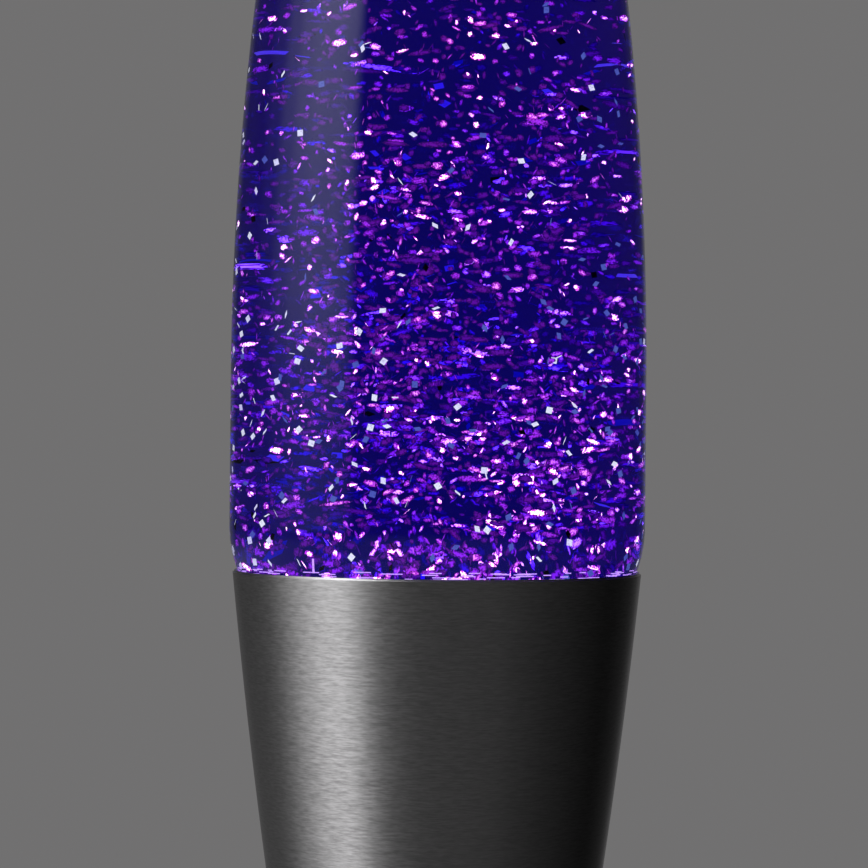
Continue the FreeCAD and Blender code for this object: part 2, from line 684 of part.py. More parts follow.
def holder_shell():
    """Ribbed upper sleeve of the lampholder."""
    inner = HOLDER_RADIUS - HOLDER_WALL
    mouth = inner - HOLDER_LIP
    top = BRACKET_SEAT + HOLDER_HEIGHT
    lip = top - HOLDER_LIP_HEIGHT
    shell = spin([
        Corner(inner, CORE_LOW), Corner(HOLDER_RADIUS, CORE_LOW),
        Corner(HOLDER_RADIUS, top, HOLDER_TOP_ROUND), Corner(mouth, top, HOLDER_LIP_ROUND),
        Corner(mouth, lip), Corner(inner, lip - HOLDER_LIP),
    ])
    low = CORE_LOW + RIB_LOW
    groove = Part.makeCylinder(RIB_RADIUS, top - RIB_HIGH - low, Vector(0, 0, low))
    return shell.cut(circle_of(groove, RIB_COUNT, HOLDER_RADIUS + RIB_RADIUS - RIB_DEPTH))


def wire_places():
    """Where the two wires stand in the nipple."""
    return (-WIRE_SPREAD, WIRE_SPREAD)


def holder_core():
    """Insulating disc that carries the lampholder's contacts."""
    disc = tube(HOLDER_RADIUS - HOLDER_WALL - FIT_GAP, 0, CORE_LOW, CORE_TOP)
    holes = [Part.makeCylinder(WIRE_RADIUS + FIT_GAP, CORE_THICKNESS / 2, Vector(x, 0, CORE_LOW))
             for x in wire_places()]
    return disc.cut(holes)


def sleeve_radius():
    """Inner radius of the lampholder's screw sleeve."""
    return BULB_SHELL_RADIUS + SLIDE_GAP


def holder_screw_sleeve():
    """Side contact of the lampholder, around the bulb's screw shell."""
    inner = sleeve_radius()
    outer = inner + SLEEVE_WALL
    top = CORE_TOP + SLEEVE_LENGTH
    straight = top - SLEEVE_FLARE_HEIGHT
    return spin([
        Corner(inner, CORE_TOP), Corner(outer, CORE_TOP), Corner(outer, straight),
        Corner(outer + SLEEVE_FLARE, top), Corner(inner + SLEEVE_FLARE, top), Corner(inner, straight),
    ])


def strip(points, width):
    """A bent strip of contact sheet, drawn along X and centred on Y."""
    under = [Vector(x, -width / 2, z) for x, z in points]
    over = [Vector(x, -width / 2, z + CONTACT_SHEET) for x, z in reversed(points)]
    return Part.Face(Part.makePolygon(under + over + under[:1])).extrude(Vector(0, width, 0))


def holder_centre_contact():
    """Bent strip whose raised tongue meets the bulb's button."""
    high = CONTACT_Z - FIT_GAP - CONTACT_SHEET
    return strip([(CONTACT_FOOT, CORE_TOP), (CONTACT_BEND, CORE_TOP), (CONTACT_CREST, high),
                  (CONTACT_TIP, high)], CONTACT_WIDTH)


def contact_rivet():
    """Rivet through the strip's foot into the core."""
    foot = CORE_TOP + CONTACT_SHEET
    head = spin([Corner(0, foot), Corner(RIVET_RADIUS, foot),
                 Corner(RIVET_RADIUS, foot + RIVET_HEIGHT, RIVET_ROUND), Corner(0, foot + RIVET_HEIGHT)])
    return head.translated(Vector(RIVET_PLACE, 0, 0))


# Reflector bulb

SHELL_LOW = CONTACT_Z + BULB_CONTACT_HEIGHT + INSULATOR_HEIGHT - INSULATOR_IN_SHELL
SHELL_HIGH = SHELL_LOW + THREAD_TURNS * THREAD_PITCH
BULB_GLASS_LOW = SHELL_HIGH + BULB_IN_SKIRT
BULB_TOP = CONTACT_Z + BULB_LENGTH


def bulb_contact():
    """Solder button under the bulb."""
    top = CONTACT_Z + BULB_CONTACT_HEIGHT
    return spin([Corner(0, CONTACT_Z), Corner(BULB_CONTACT_TIP, CONTACT_Z),
                 Corner(BULB_CONTACT_RADIUS, top, 0, BULB_CONTACT_BULGE), Corner(0, top)])


def bulb_insulator():
    """Black glass cone between the button and the screw shell."""
    low = CONTACT_Z + BULB_CONTACT_HEIGHT
    inner = BULB_SHELL_RADIUS - THREAD_DEPTH - SHELL_SHEET - FIT_GAP
    return spin([Corner(0, low), Corner(INSULATOR_TIP, low), Corner(inner, SHELL_LOW),
                 Corner(inner, low + INSULATOR_HEIGHT), Corner(0, low + INSULATOR_HEIGHT)])


def thread_corners(inset):
    """Crests and roots of the screw shell, from the bottom up."""
    corners = []
    for k in range(THREAD_TURNS):
        z = SHELL_LOW + (k + 0.5) * THREAD_PITCH
        corners.append(Corner(BULB_SHELL_RADIUS - THREAD_DEPTH - inset, z - THREAD_PITCH / 2))
        corners.append(Corner(BULB_SHELL_RADIUS - inset, z))
    corners.append(Corner(BULB_SHELL_RADIUS - THREAD_DEPTH - inset, SHELL_HIGH))
    return corners


def bulb_screw_shell():
    """Threaded metal shell of the bulb, flared at the top to hold its neck."""
    outer = thread_corners(0)
    inner = thread_corners(SHELL_SHEET)
    flare = BULB_NECK + FIT_GAP
    low = SHELL_HIGH + SKIRT_FLARE
    top = SHELL_HIGH + SKIRT_HEIGHT
    skirt = [Corner(flare + SHELL_SHEET, low), Corner(flare + SHELL_SHEET, top), Corner(flare, top),
             Corner(flare, low)]
    return spin(outer + skirt + turned_back(inner))


def bulb_side(inset):
    """Corners of the bulb's side from its neck to its crown."""
    wide = CONTACT_Z + BULB_LENGTH * BOWL_SHARE
    neck = SHELL_HIGH + SKIRT_HEIGHT + BULB_NECK_LENGTH
    edge = BULB_RADIUS - CROWN_EDGE - CROWN_EDGE_SHARE * inset
    crown = BULB_CROWN - (1 - CROWN_EDGE_SHARE) * inset
    return [
        Corner(BULB_NECK - inset, BULB_GLASS_LOW), Corner(BULB_NECK - inset, neck),
        Corner(BULB_RADIUS - inset, wide, 0, BOWL_BULGE),
        Corner(edge, BULB_TOP - inset - crown, 0, CROWN_EDGE_BULGE),
        Corner(0, BULB_TOP - inset, 0, dome(edge, crown)),
    ]


def bulb_glass():
    """Thin envelope of the bulb, closed by its shell below."""
    return spin(bulb_side(0) + turned_back(bulb_side(BULB_WALL)))


def bulb_stem():
    """Glass mount inside the bulb's neck."""
    low = BULB_GLASS_LOW
    return spin([Corner(0, low), Corner(BULB_NECK - BULB_WALL - STEM_GAP, low),
                 Corner(STEM_RADIUS, low + STEM_FLARE),
                 Corner(STEM_TIP_RADIUS, low + STEM_LENGTH, STEM_ROUND), Corner(0, low + STEM_LENGTH)])


def bulb_filament():
    """Filament bent in an arch between its two lead wires."""
    low = BULB_GLASS_LOW + STEM_LENGTH
    high = low + FILAMENT_SPAN
    ends = [Vector(x, 0, high) for x in (-LEAD_PLACE, LEAD_PLACE)]
    leads = [Part.makeCylinder(LEAD_RADIUS, high - low, Vector(end.x, 0, low)) for end in ends]
    route = Part.Arc(ends[0], Vector(0, 0, high + FILAMENT_ARCH), ends[1])
    ring = Part.makeCircle(FILAMENT_RADIUS, ends[0], route.tangent(route.FirstParameter)[0])
    coil = Part.Wire([route.toShape()]).makePipeShell([Part.Wire([ring])], True, True)
    return coil.fuse(leads)


# Foot plate and wiring

def plate_screw_places(shape):
    """Copies of a shape at the foot plate's screws, the first at the back."""
    return circle_of(shape, PLATE_SCREW_COUNT, PLATE_SCREW_CIRCLE, 90)


def pad_places(shape):
    """Copies of a shape at the four rubber pads."""
    return circle_of(shape, PAD_COUNT, PLATE_RADIUS - PAD_INSET, 45)


def base_plate():
    """Vented plate that closes the foot."""
    plate = spin([Corner(0, FOOT_CLEARANCE), Corner(PLATE_RADIUS, FOOT_CLEARANCE, PLATE_ROUND),
                  Corner(PLATE_RADIUS, PLATE_TOP), Corner(0, PLATE_TOP)])
    length = VENT_OUTER - VENT_INNER
    slot = box(length, VENT_WIDTH, 2 * DRILL_REACH, 0, 0, FOOT_CLEARANCE - DRILL_REACH)
    end = drill(VENT_WIDTH / 2, FOOT_CLEARANCE)
    vent = slot.fuse([end.translated(Vector(side * length / 2, 0, 0)) for side in (-1, 1)])
    vents = circle_of(vent, VENT_COUNT, (VENT_INNER + VENT_OUTER) / 2, 180.0 / VENT_COUNT)
    recess = Part.makeCylinder(PAD_RADIUS + FIT_GAP, PAD_RECESS, Vector(0, 0, FOOT_CLEARANCE))
    hole = drill(SCREW_HOLE_RADIUS, FOOT_CLEARANCE)
    block_hole = hole.translated(Vector(0, BLOCK_DISTANCE, 0))
    return plate.cut(vents + pad_places(recess) + plate_screw_places(hole) + [block_hole])


def plate_screws():
    """Screws that hold the plate to the foot's hem."""
    screw = upside_down(pan_head(SCREW_RADIUS, PLATE_SCREW_LENGTH, FOOT_CLEARANCE), FOOT_CLEARANCE)
    return Part.makeCompound(plate_screw_places(screw))


def rubber_pads():
    """Pads under the plate that the lamp stands on."""
    top = FOOT_CLEARANCE + PAD_RECESS
    pad = spin([Corner(0, 0), Corner(PAD_RADIUS, 0, PAD_ROUND), Corner(PAD_RADIUS, top), Corner(0, top)])
    return Part.makeCompound(pad_places(pad))


POLE_Z = PLATE_TOP + BLOCK_HEIGHT / 2


def pole_places():
    """Where the terminal block's two poles stand along X."""
    return (-POLE_PITCH / 2, POLE_PITCH / 2)


def pole_screw_places():
    """X and Y of the four terminal screws."""
    reach = BLOCK_DEPTH / 2 - POLE_SCREW_INSET
    return [(x, BLOCK_DISTANCE + side * reach) for x in pole_places() for side in (-1, 1)]


def along_y(radius, x, start, length):
    """A level cylinder along Y at the poles' height."""
    return Part.makeCylinder(radius, length, Vector(x, start, POLE_Z), Vector(0, 1, 0))


def terminal_block():
    """Two-pole connector on the foot plate."""
    block = box(BLOCK_WIDTH, BLOCK_DEPTH, BLOCK_HEIGHT, 0, BLOCK_DISTANCE, PLATE_TOP)
    middle = Vector(0, BLOCK_DISTANCE, 0)
    groove = box(BLOCK_GROOVE_WIDTH, BLOCK_DEPTH, BLOCK_HEIGHT, 0, BLOCK_DISTANCE, PLATE_TOP + BLOCK_WEB)
    boss = tube(BLOCK_BOSS_RADIUS, 0, PLATE_TOP, PLATE_TOP + BLOCK_HEIGHT).translated(middle)
    start = BLOCK_DISTANCE - BLOCK_DEPTH / 2
    bores = [along_y(POLE_RADIUS + FIT_GAP, x, start, BLOCK_DEPTH) for x in pole_places()]
    taps = [Part.makeCylinder(POLE_SCREW_RADIUS + FIT_GAP, BLOCK_HEIGHT, Vector(x, y, POLE_Z))
            for x, y in pole_screw_places()]
    pilot = tube(SCREW_RADIUS + FIT_GAP, 0, PLATE_TOP, PLATE_TOP + BLOCK_SCREW_DEPTH).translated(middle)
    return block.cut([groove.cut(boss), pilot] + bores + taps)


def terminal_sleeves():
    """Brass tubes inside the connector."""
    start = BLOCK_DISTANCE - BLOCK_DEPTH / 2 + SLEEVE_INSET
    length = BLOCK_DEPTH - 2 * SLEEVE_INSET
    made = []
    for x in pole_places():
        sleeve = along_y(POLE_RADIUS, x, start, length).cut(along_y(POLE_BORE, x, start, length))
        taps = [Part.makeCylinder(POLE_SCREW_RADIUS + FIT_GAP, BLOCK_HEIGHT, Vector(sx, sy, POLE_Z))
                for sx, sy in pole_screw_places() if sx == x]
        made.append(sleeve.cut(taps))
    return Part.makeCompound(made)


def terminal_screws():
    """Grub screws that clamp the conductors."""
    low = POLE_Z + POLE_BORE
    high = PLATE_TOP + BLOCK_HEIGHT - POLE_SCREW_SINK
    made = []
    for x, y in pole_screw_places():
        screw = Part.makeCylinder(POLE_SCREW_RADIUS, high - low, Vector(x, y, low))
        slot = box(4 * POLE_SCREW_RADIUS, POLE_SLOT_WIDTH, DRILL_REACH, x, y, high - POLE_SLOT_DEPTH)
        made.append(screw.cut(slot))
    return Part.makeCompound(made)


def block_screw():
    """Screw up through the plate into the connector."""
    screw = upside_down(pan_head(SCREW_RADIUS, PLATE_SCREW_LENGTH, FOOT_CLEARANCE), FOOT_CLEARANCE)
    screw.translate(Vector(0, BLOCK_DISTANCE, 0))
    return screw


def inner_wire(side):
    """Insulated conductor from the connector up through the nipple to the lampholder's core."""
    start_y = BLOCK_DISTANCE - BLOCK_DEPTH / 2
    pole = side * POLE_PITCH / 2
    spread = side * WIRE_SPREAD
    points = [Vector(pole, start_y, POLE_Z), Vector(pole, start_y - WIRE_STUB, POLE_Z),
              Vector(spread, WIRE_TURN + WIRE_LEAD, POLE_Z), Vector(spread, 0, POLE_Z),
              Vector(spread, 0, CORE_LOW + CORE_THICKNESS / 2)]
    route = rounded_path(points, WIRE_TURN)
    ring = Part.makeCircle(WIRE_RADIUS, points[0], Vector(0, 1, 0))
    wire = route.makePipeShell([Part.Wire([ring])], True, False)
    expected = math.pi * WIRE_RADIUS ** 2 * route.Length
    print(f"inner wire: radius {WIRE_TURN:.2f} mm, volume {wire.Volume:.1f} of {expected:.1f} mm3")
    return wire


# Cord inlet

def at_inlet(shape):
    """A shape drawn along Z from the wall's outer face, set square to the foot's wall at the back."""
    below, here, above = [shell_radius(FOOT_LOW, FOOT_HIGH, INLET_RISE + step) for step in (-1, 0, 1)]
    placed = shape.copy()
    placed.rotate(Vector(0, 0, 0), Vector(1, 0, 0), -90 + math.degrees(math.atan((below - above) / 2)))
    placed.translate(Vector(0, here, INLET_RISE))
    return placed


def cord_inlet():
    """Rubber bush in the foot's wall."""
    back = -(SHEET + INLET_SLACK)
    bush = spin([
        Corner(INLET_BORE, back - INLET_TAIL, INLET_TAIL_ROUND),
        Corner(INLET_NECK + INLET_BARB, back - INLET_TAIL, INLET_EDGE_ROUND),
        Corner(INLET_FLANGE, back), Corner(INLET_NECK, back), Corner(INLET_NECK, FIT_GAP),
        Corner(INLET_FLANGE, FIT_GAP), Corner(INLET_FLANGE, INLET_FLANGE_THICKNESS, INLET_FLANGE_ROUND),
        Corner(INLET_BORE, INLET_FLANGE_THICKNESS, INLET_EDGE_ROUND),
    ])
    return at_inlet(bush)


# Cap

CAP_RADIUS = SHOULDER_RADIUS + CAP_GAP + SHEET
CAP_WALL = SHEET / math.cos(math.atan2(CAP_TAPER, CAP_HEIGHT))


def cap_radius(z):
    """Outside radius of the cap at a height."""
    return CAP_RADIUS - CAP_TAPER * (z - CAP_EDGE) / CAP_HEIGHT


def top_cap():
    """Spun cone that covers the bottle's neck."""
    return spin([
        Corner(CAP_RADIUS - CAP_WALL, CAP_EDGE, RIM_ROUND), Corner(CAP_RADIUS, CAP_EDGE, RIM_ROUND),
        Corner(cap_radius(CAP_TOP), CAP_TOP, CAP_ROUND), Corner(0, CAP_TOP), Corner(0, CAP_TOP - SHEET),
        Corner(cap_radius(CAP_TOP - SHEET) - CAP_WALL, CAP_TOP - SHEET, CAP_ROUND - SHEET),
    ])


def cap_ring():
    """Moulded ring in the cap that rests on the bottle's shoulder."""
    low = CAP_EDGE + CAP_RING_RISE
    high = low + CAP_RING_HEIGHT
    outer = [cap_radius(z) - CAP_WALL - FIT_GAP for z in (low, high)]
    inner = [shoulder_radius(SLIDE_GAP, z) for z in (low, high)]
    radius = ARCS["shoulder"][0] + SLIDE_GAP
    chord = math.hypot(inner[0] - inner[1], CAP_RING_HEIGHT)
    hollow = -sagitta(radius, 2 * math.asin(chord / (2 * radius)))
    return spin([Corner(inner[0], low, 0, hollow), Corner(outer[0], low), Corner(outer[1], high),
                 Corner(inner[1], high)])


def main():
    """Makes every piece and writes it as a STEP file of its own."""
    cavity = bottle_cavity()
    fill = Part.makeCylinder(2 * BOTTLE_RADIUS, CAP_EDGE - HEADSPACE)
    pieces = {
        "base_cup": base_cup(),
        "base_foot": base_foot(),
        "bottle_seat_ring": seat_ring(),
        "holder_bracket": holder_bracket(),
        "waist_screws": flange_screws(),
        "waist_nuts": flange_nuts(),
        "threaded_nipple": threaded_nipple(),
        "nipple_nut": nipple_nut(),
        "nipple_lock_washer": lock_washer(),
        "holder_base": holder_base(),
        "holder_shell": holder_shell(),
        "holder_core": holder_core(),
        "holder_screw_sleeve": holder_screw_sleeve(),
        "holder_centre_contact": holder_centre_contact(),
        "contact_rivet": contact_rivet(),
        "wire_live": inner_wire(1),
        "wire_neutral": inner_wire(-1),
        "terminal_block": terminal_block(),
        "terminal_sleeves": terminal_sleeves(),
        "terminal_screws": terminal_screws(),
        "block_screw": block_screw(),
        "base_plate": base_plate(),
        "plate_screws": plate_screws(),
        "rubber_pads": rubber_pads(),
        "cord_inlet_bush": cord_inlet(),
        "bulb_glass": bulb_glass(),
        "bulb_stem": bulb_stem(),
        "bulb_filament": bulb_filament(),
        "bulb_screw_shell": bulb_screw_shell(),
        "bulb_insulator": bulb_insulator(),
        "bulb_contact": bulb_contact(),
        "glass_bottle": bottle_outside().cut(cavity),
        "liquid": cavity.common(fill),
        "glitter": flakes(),
        "crown_closure": crown_closure(),
        "closure_liner": closure_liner(),
        "top_cap": top_cap(),
        "cap_ring": cap_ring(),
    }
    os.makedirs("parts", exist_ok=True)
    for name, shape in pieces.items():
        if not shape.isValid() or shape.Volume <= 0:
            raise ValueError(f"{name} isn't a sound solid")
        shape.exportStep(f"parts/{name}.step")
        print(f"{name}: {len(shape.Solids)} solid(s), {shape.Volume:.1f} mm3")


main()
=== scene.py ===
"""Looks for a glitter lamp: filled bottle, spun base and cap, reflector bulb, lampholder and studio."""
import logging
import math
from dataclasses import dataclass, field
from enum import Enum
from functools import cached_property

import bpy
import numpy as np
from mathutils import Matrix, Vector


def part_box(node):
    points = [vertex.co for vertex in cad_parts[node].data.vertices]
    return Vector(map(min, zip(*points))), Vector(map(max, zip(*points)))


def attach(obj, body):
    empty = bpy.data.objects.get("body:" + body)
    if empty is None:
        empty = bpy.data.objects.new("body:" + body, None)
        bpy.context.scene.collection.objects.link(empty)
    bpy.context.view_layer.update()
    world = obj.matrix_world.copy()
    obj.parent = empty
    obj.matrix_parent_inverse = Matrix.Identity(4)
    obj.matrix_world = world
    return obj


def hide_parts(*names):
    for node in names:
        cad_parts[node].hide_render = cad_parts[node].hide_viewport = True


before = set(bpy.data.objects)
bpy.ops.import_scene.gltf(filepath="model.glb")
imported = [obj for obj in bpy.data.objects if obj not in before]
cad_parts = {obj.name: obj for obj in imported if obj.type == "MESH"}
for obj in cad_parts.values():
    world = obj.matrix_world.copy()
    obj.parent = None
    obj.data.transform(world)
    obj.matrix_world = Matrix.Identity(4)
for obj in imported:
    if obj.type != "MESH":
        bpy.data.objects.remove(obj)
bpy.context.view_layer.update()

MM = 0.001
TURN = 2 * math.pi
TINY = 1e-7
AIM_HEIGHT = 0.2
ARC_TURN = math.radians(9)
LOG = logging.getLogger("glitter_lamp")

Colour = tuple[float, float, float]
Stops = tuple[tuple[float, float], ...]
Socket = bpy.types.NodeSocket
Piece = bpy.types.Object
Dice = np.random.Generator


# ---------------------------------------------------------------- surfaces

@dataclass(frozen=True)
class Knot:
    """A corner of a turned outline, in metres.

    Args:
        r: distance from the lamp's axis.
        z: height above the table.
        round: radius that softens the corner.
        bulge: how far the stretch that ends here stands out to the right of its way.
    """

    r: float
    z: float
    round: float = 0.0
    bulge: float = 0.0

    def point(self) -> np.ndarray:
        """The corner as an (r, z) pair."""
        return np.array([self.r, self.z])


def ends_crowded(count: int) -> np.ndarray:
    """Shares of a way, (1 - cos(pi k / count)) / 2 for k from 0 to count - 1."""
    return (1 - np.cos(np.pi * np.arange(count) / count)) / 2


def arc_points(start: np.ndarray, end: np.ndarray, bulge: float, step: float) -> np.ndarray:
    """Points from start to end along a circular arc, or a straight line for no bulge.

    The arc's radius is (c^2 + b^2) / 2b for half chord c and bulge b. Point k of n lies at the share
    (1 - cos(pi k / n)) / 2 of the way, so points crowd at both ends and shading there stays true.

    Args:
        start: first (r, z) point.
        end: last (r, z) point.
        bulge: height of the arc's middle over the chord, to the right of the way.
        step: longest stretch between two points.

    Returns:
        An array of (r, z) rows that leaves out the last point.
    """
    chord = end - start
    length = float(np.hypot(*chord))
    if abs(bulge) < TINY:
        count = max(1, int(math.ceil(length / step)))
        return start + chord * ends_crowded(count)[:, None]
    half = length / 2
    radius = (half ** 2 + bulge ** 2) / (2 * abs(bulge))
    turn = 2 * math.atan2(half, radius - abs(bulge))
    right = np.array([chord[1], -chord[0]]) / length * math.copysign(1, bulge)
    centre = (start + end) / 2 + right * (abs(bulge) - radius)
    count = max(3, int(math.ceil(radius * turn / step)), int(math.ceil(turn / ARC_TURN)))
    angles = turn * (ends_crowded(count) - 0.5)
    along = chord / length
    return centre + radius * (np.cos(angles)[:, None] * right + np.sin(angles)[:, None] * along)


def outline(knots: list[Knot], closed: bool, step: float = 2 * MM) -> np.ndarray:
    """Turns corners into a dense outline, with each rounded corner as an arc that touches both sides.

    Args:
        knots: the corners in order.
        closed: True if the last corner joins the first.
        step: longest stretch between two points.

    Returns:
        An array of (r, z) rows.
    """
    places = []
    for i, knot in enumerate(knots):
        here = knot.point()
        ends = not closed and i in (0, len(knots) - 1)
        if not knot.round or ends:
            places.append((here, here, 0.0))
            continue
        back = knots[i - 1].point() - here
        ahead = knots[(i + 1) % len(knots)].point() - here
        back, ahead = back / np.hypot(*back), ahead / np.hypot(*ahead)
        half = math.acos(float(np.clip(back @ ahead, -1, 1))) / 2
        setback = knot.round / math.tan(half)
        side = float(np.sign(back[0] * ahead[1] - back[1] * ahead[0]))
        corner = side * knot.round * (1 - math.sin(half))
        places.append((here + back * setback, here + ahead * setback, corner))
    rows = []
    for i, knot in enumerate(knots):
        arrive, leave, corner = places[i]
        if i or closed:
            before = places[i - 1][1]
            if np.hypot(*(arrive - before)) > TINY:
                rows.append(arc_points(before, arrive, knot.bulge, step))
        if corner:
            rows.append(arc_points(arrive, leave, corner, step))
    if not closed:
        rows.append(places[-1][1][None, :])
    return np.concatenate(rows)


def grid_faces(rows: int, columns: int, wrap_rows: bool) -> np.ndarray:
    """Quads of a grid of vertices whose columns close on themselves, vertex = row * columns + column."""
    row = np.arange(rows if wrap_rows else rows - 1)[:, None]
    column = np.arange(columns)[None, :]
    after = (column + 1) % columns
    above = (row + 1) % rows
    quads = np.stack([row * columns + column, row * columns + after, above * columns + after,
                      above * columns + column], axis=-1)
    return quads.reshape(-1, 4)


def signed_volume(points: np.ndarray, faces: list[list[int]]) -> float:
    """Sum over the faces' triangles of a . (b x c) / 6, which is above 0 when they look outwards."""
    total = 0.0
    for size in (3, 4):
        same = np.array([face for face in faces if len(face) == size])
        if not len(same):
            continue
        for k in range(1, size - 1):
            a, b, c = points[same[:, 0]], points[same[:, k]], points[same[:, k + 1]]
            total += float(np.einsum("ij,ij->", a, np.cross(b, c))) / 6
    return total


def linked(name: str, data) -> Piece:
    """A new object for a mesh, light or camera, in the scene's own collection."""
    made = bpy.data.objects.new(name, data)
    bpy.context.scene.collection.objects.link(made)
    return made


def new_piece(name: str, points: np.ndarray, faces: list[list[int]], smooth: bool = True) -> Piece:
    """Makes an object from points and faces, turned to look outwards, at the origin.

    Args:
        name: the piece's name.
        points: vertices in metres.
        faces: vertex numbers of each face.
        smooth: True for soft shading.

    Returns:
        The new object.
    """
    if signed_volume(points, faces) < 0:
        faces = [face[::-1] for face in faces]
    mesh = bpy.data.meshes.new(name)
    mesh.from_pydata(points.tolist(), [], faces)
    mesh.polygons.foreach_set("use_smooth", np.full(len(faces), smooth))
    mesh.update()
    return linked(name, mesh)


def turned_grid(radii: np.ndarray, heights: np.ndarray) -> np.ndarray:
    """Points (r cos a, r sin a, z) for radii and heights given by row and by column of angles."""
    angles = np.arange(radii.shape[1]) / radii.shape[1] * TURN
    return np.stack([radii * np.cos(angles), radii * np.sin(angles), heights], axis=-1).reshape(-1, 3)


def lathe(name: str, rows: np.ndarray, closed: bool, segments: int = 160) -> Piece:
    """Turns an outline once about the lamp's axis: each row (r, z) becomes a ring of equal radius.

    Args:
        name: the piece's name.
        rows: outline as (r, z) rows. An open one starts and ends on the axis.
        closed: True if the outline is a loop clear of the axis.
        segments: points round the axis.

    Returns:
        The turned object.
    """
    rings = rows if closed else rows[1:-1]
    return ring_solid(name, rows, np.repeat(rings[:, :1], segments, axis=1), closed)


def ring_solid(name: str, rows: np.ndarray, radii: np.ndarray, closed: bool) -> Piece:
    """Joins rings, one at each row's height, into a closed solid.

    Args:
        name: the piece's name.
        rows: outline as (r, z) rows. An open one starts and ends on the axis, where it has no ring.
        radii: each ring's radius at each angle.
        closed: True if the outline is a loop clear of the axis.

    Returns:
        The solid.
    """
    rings = rows if closed else rows[1:-1]
    count, segments = radii.shape
    points = turned_grid(radii, np.repeat(rings[:, 1:], segments, axis=1))
    if closed:
        return new_piece(name, points, grid_faces(count, segments, True).tolist())
    poles = (0, 0, rows[0, 1]), (0, 0, rows[-1, 1])
    return new_piece(name, *with_poles(points, count, segments, *poles))


def with_poles(points: np.ndarray, rows: int, columns: int, low: tuple, high: tuple) -> tuple:
    """Closes an open grid of rings with a fan of triangles to a pole at each end.

    Args:
        points: the rings' vertices.
        rows: number of rings.
        columns: vertices in a ring.
        low: pole beside the first ring.
        high: pole beside the last ring.

    Returns:
        All vertices, and all faces as lists.
    """
    quads = grid_faces(rows, columns, False).tolist()
    column = np.arange(columns)
    after = (column + 1) % columns
    first = len(points)
    last = (rows - 1) * columns
    low_fan = np.stack([np.full(columns, first), after, column], axis=1).tolist()
    high_fan = np.stack([np.full(columns, first + 1), last + column, last + after], axis=1).tolist()
    return np.concatenate([points, [low, high]]), quads + low_fan + high_fan


def tube(name: str, path: np.ndarray, radius: float, sides: int = 8) -> Piece:
    """A round rod along a path, closed at both ends: each point carries a ring square to the way there.

    Args:
        name: the piece's name.
        path: points along the middle.
        radius: the rod's radius.
        sides: points round the rod.

    Returns:
        The rod.
    """
    way = np.gradient(path, axis=0)
    way /= np.linalg.norm(way, axis=1)[:, None]
    askew = np.array([0.31, 0.17, 0.93])
    across = np.cross(way, askew)
    across /= np.linalg.norm(across, axis=1)[:, None]
    over = np.cross(way, across)
    angles = np.arange(sides) / sides * TURN
    cosines, sines = np.cos(angles)[None, :, None], np.sin(angles)[None, :, None]
    ring = cosines * across[:, None, :] + sines * over[:, None, :]
    points = (path[:, None, :] + radius * ring).reshape(-1, 3)
    return new_piece(name, *with_poles(points, len(path), sides, tuple(path[0]), tuple(path[-1])))


# ---------------------------------------------------------------- shader boards

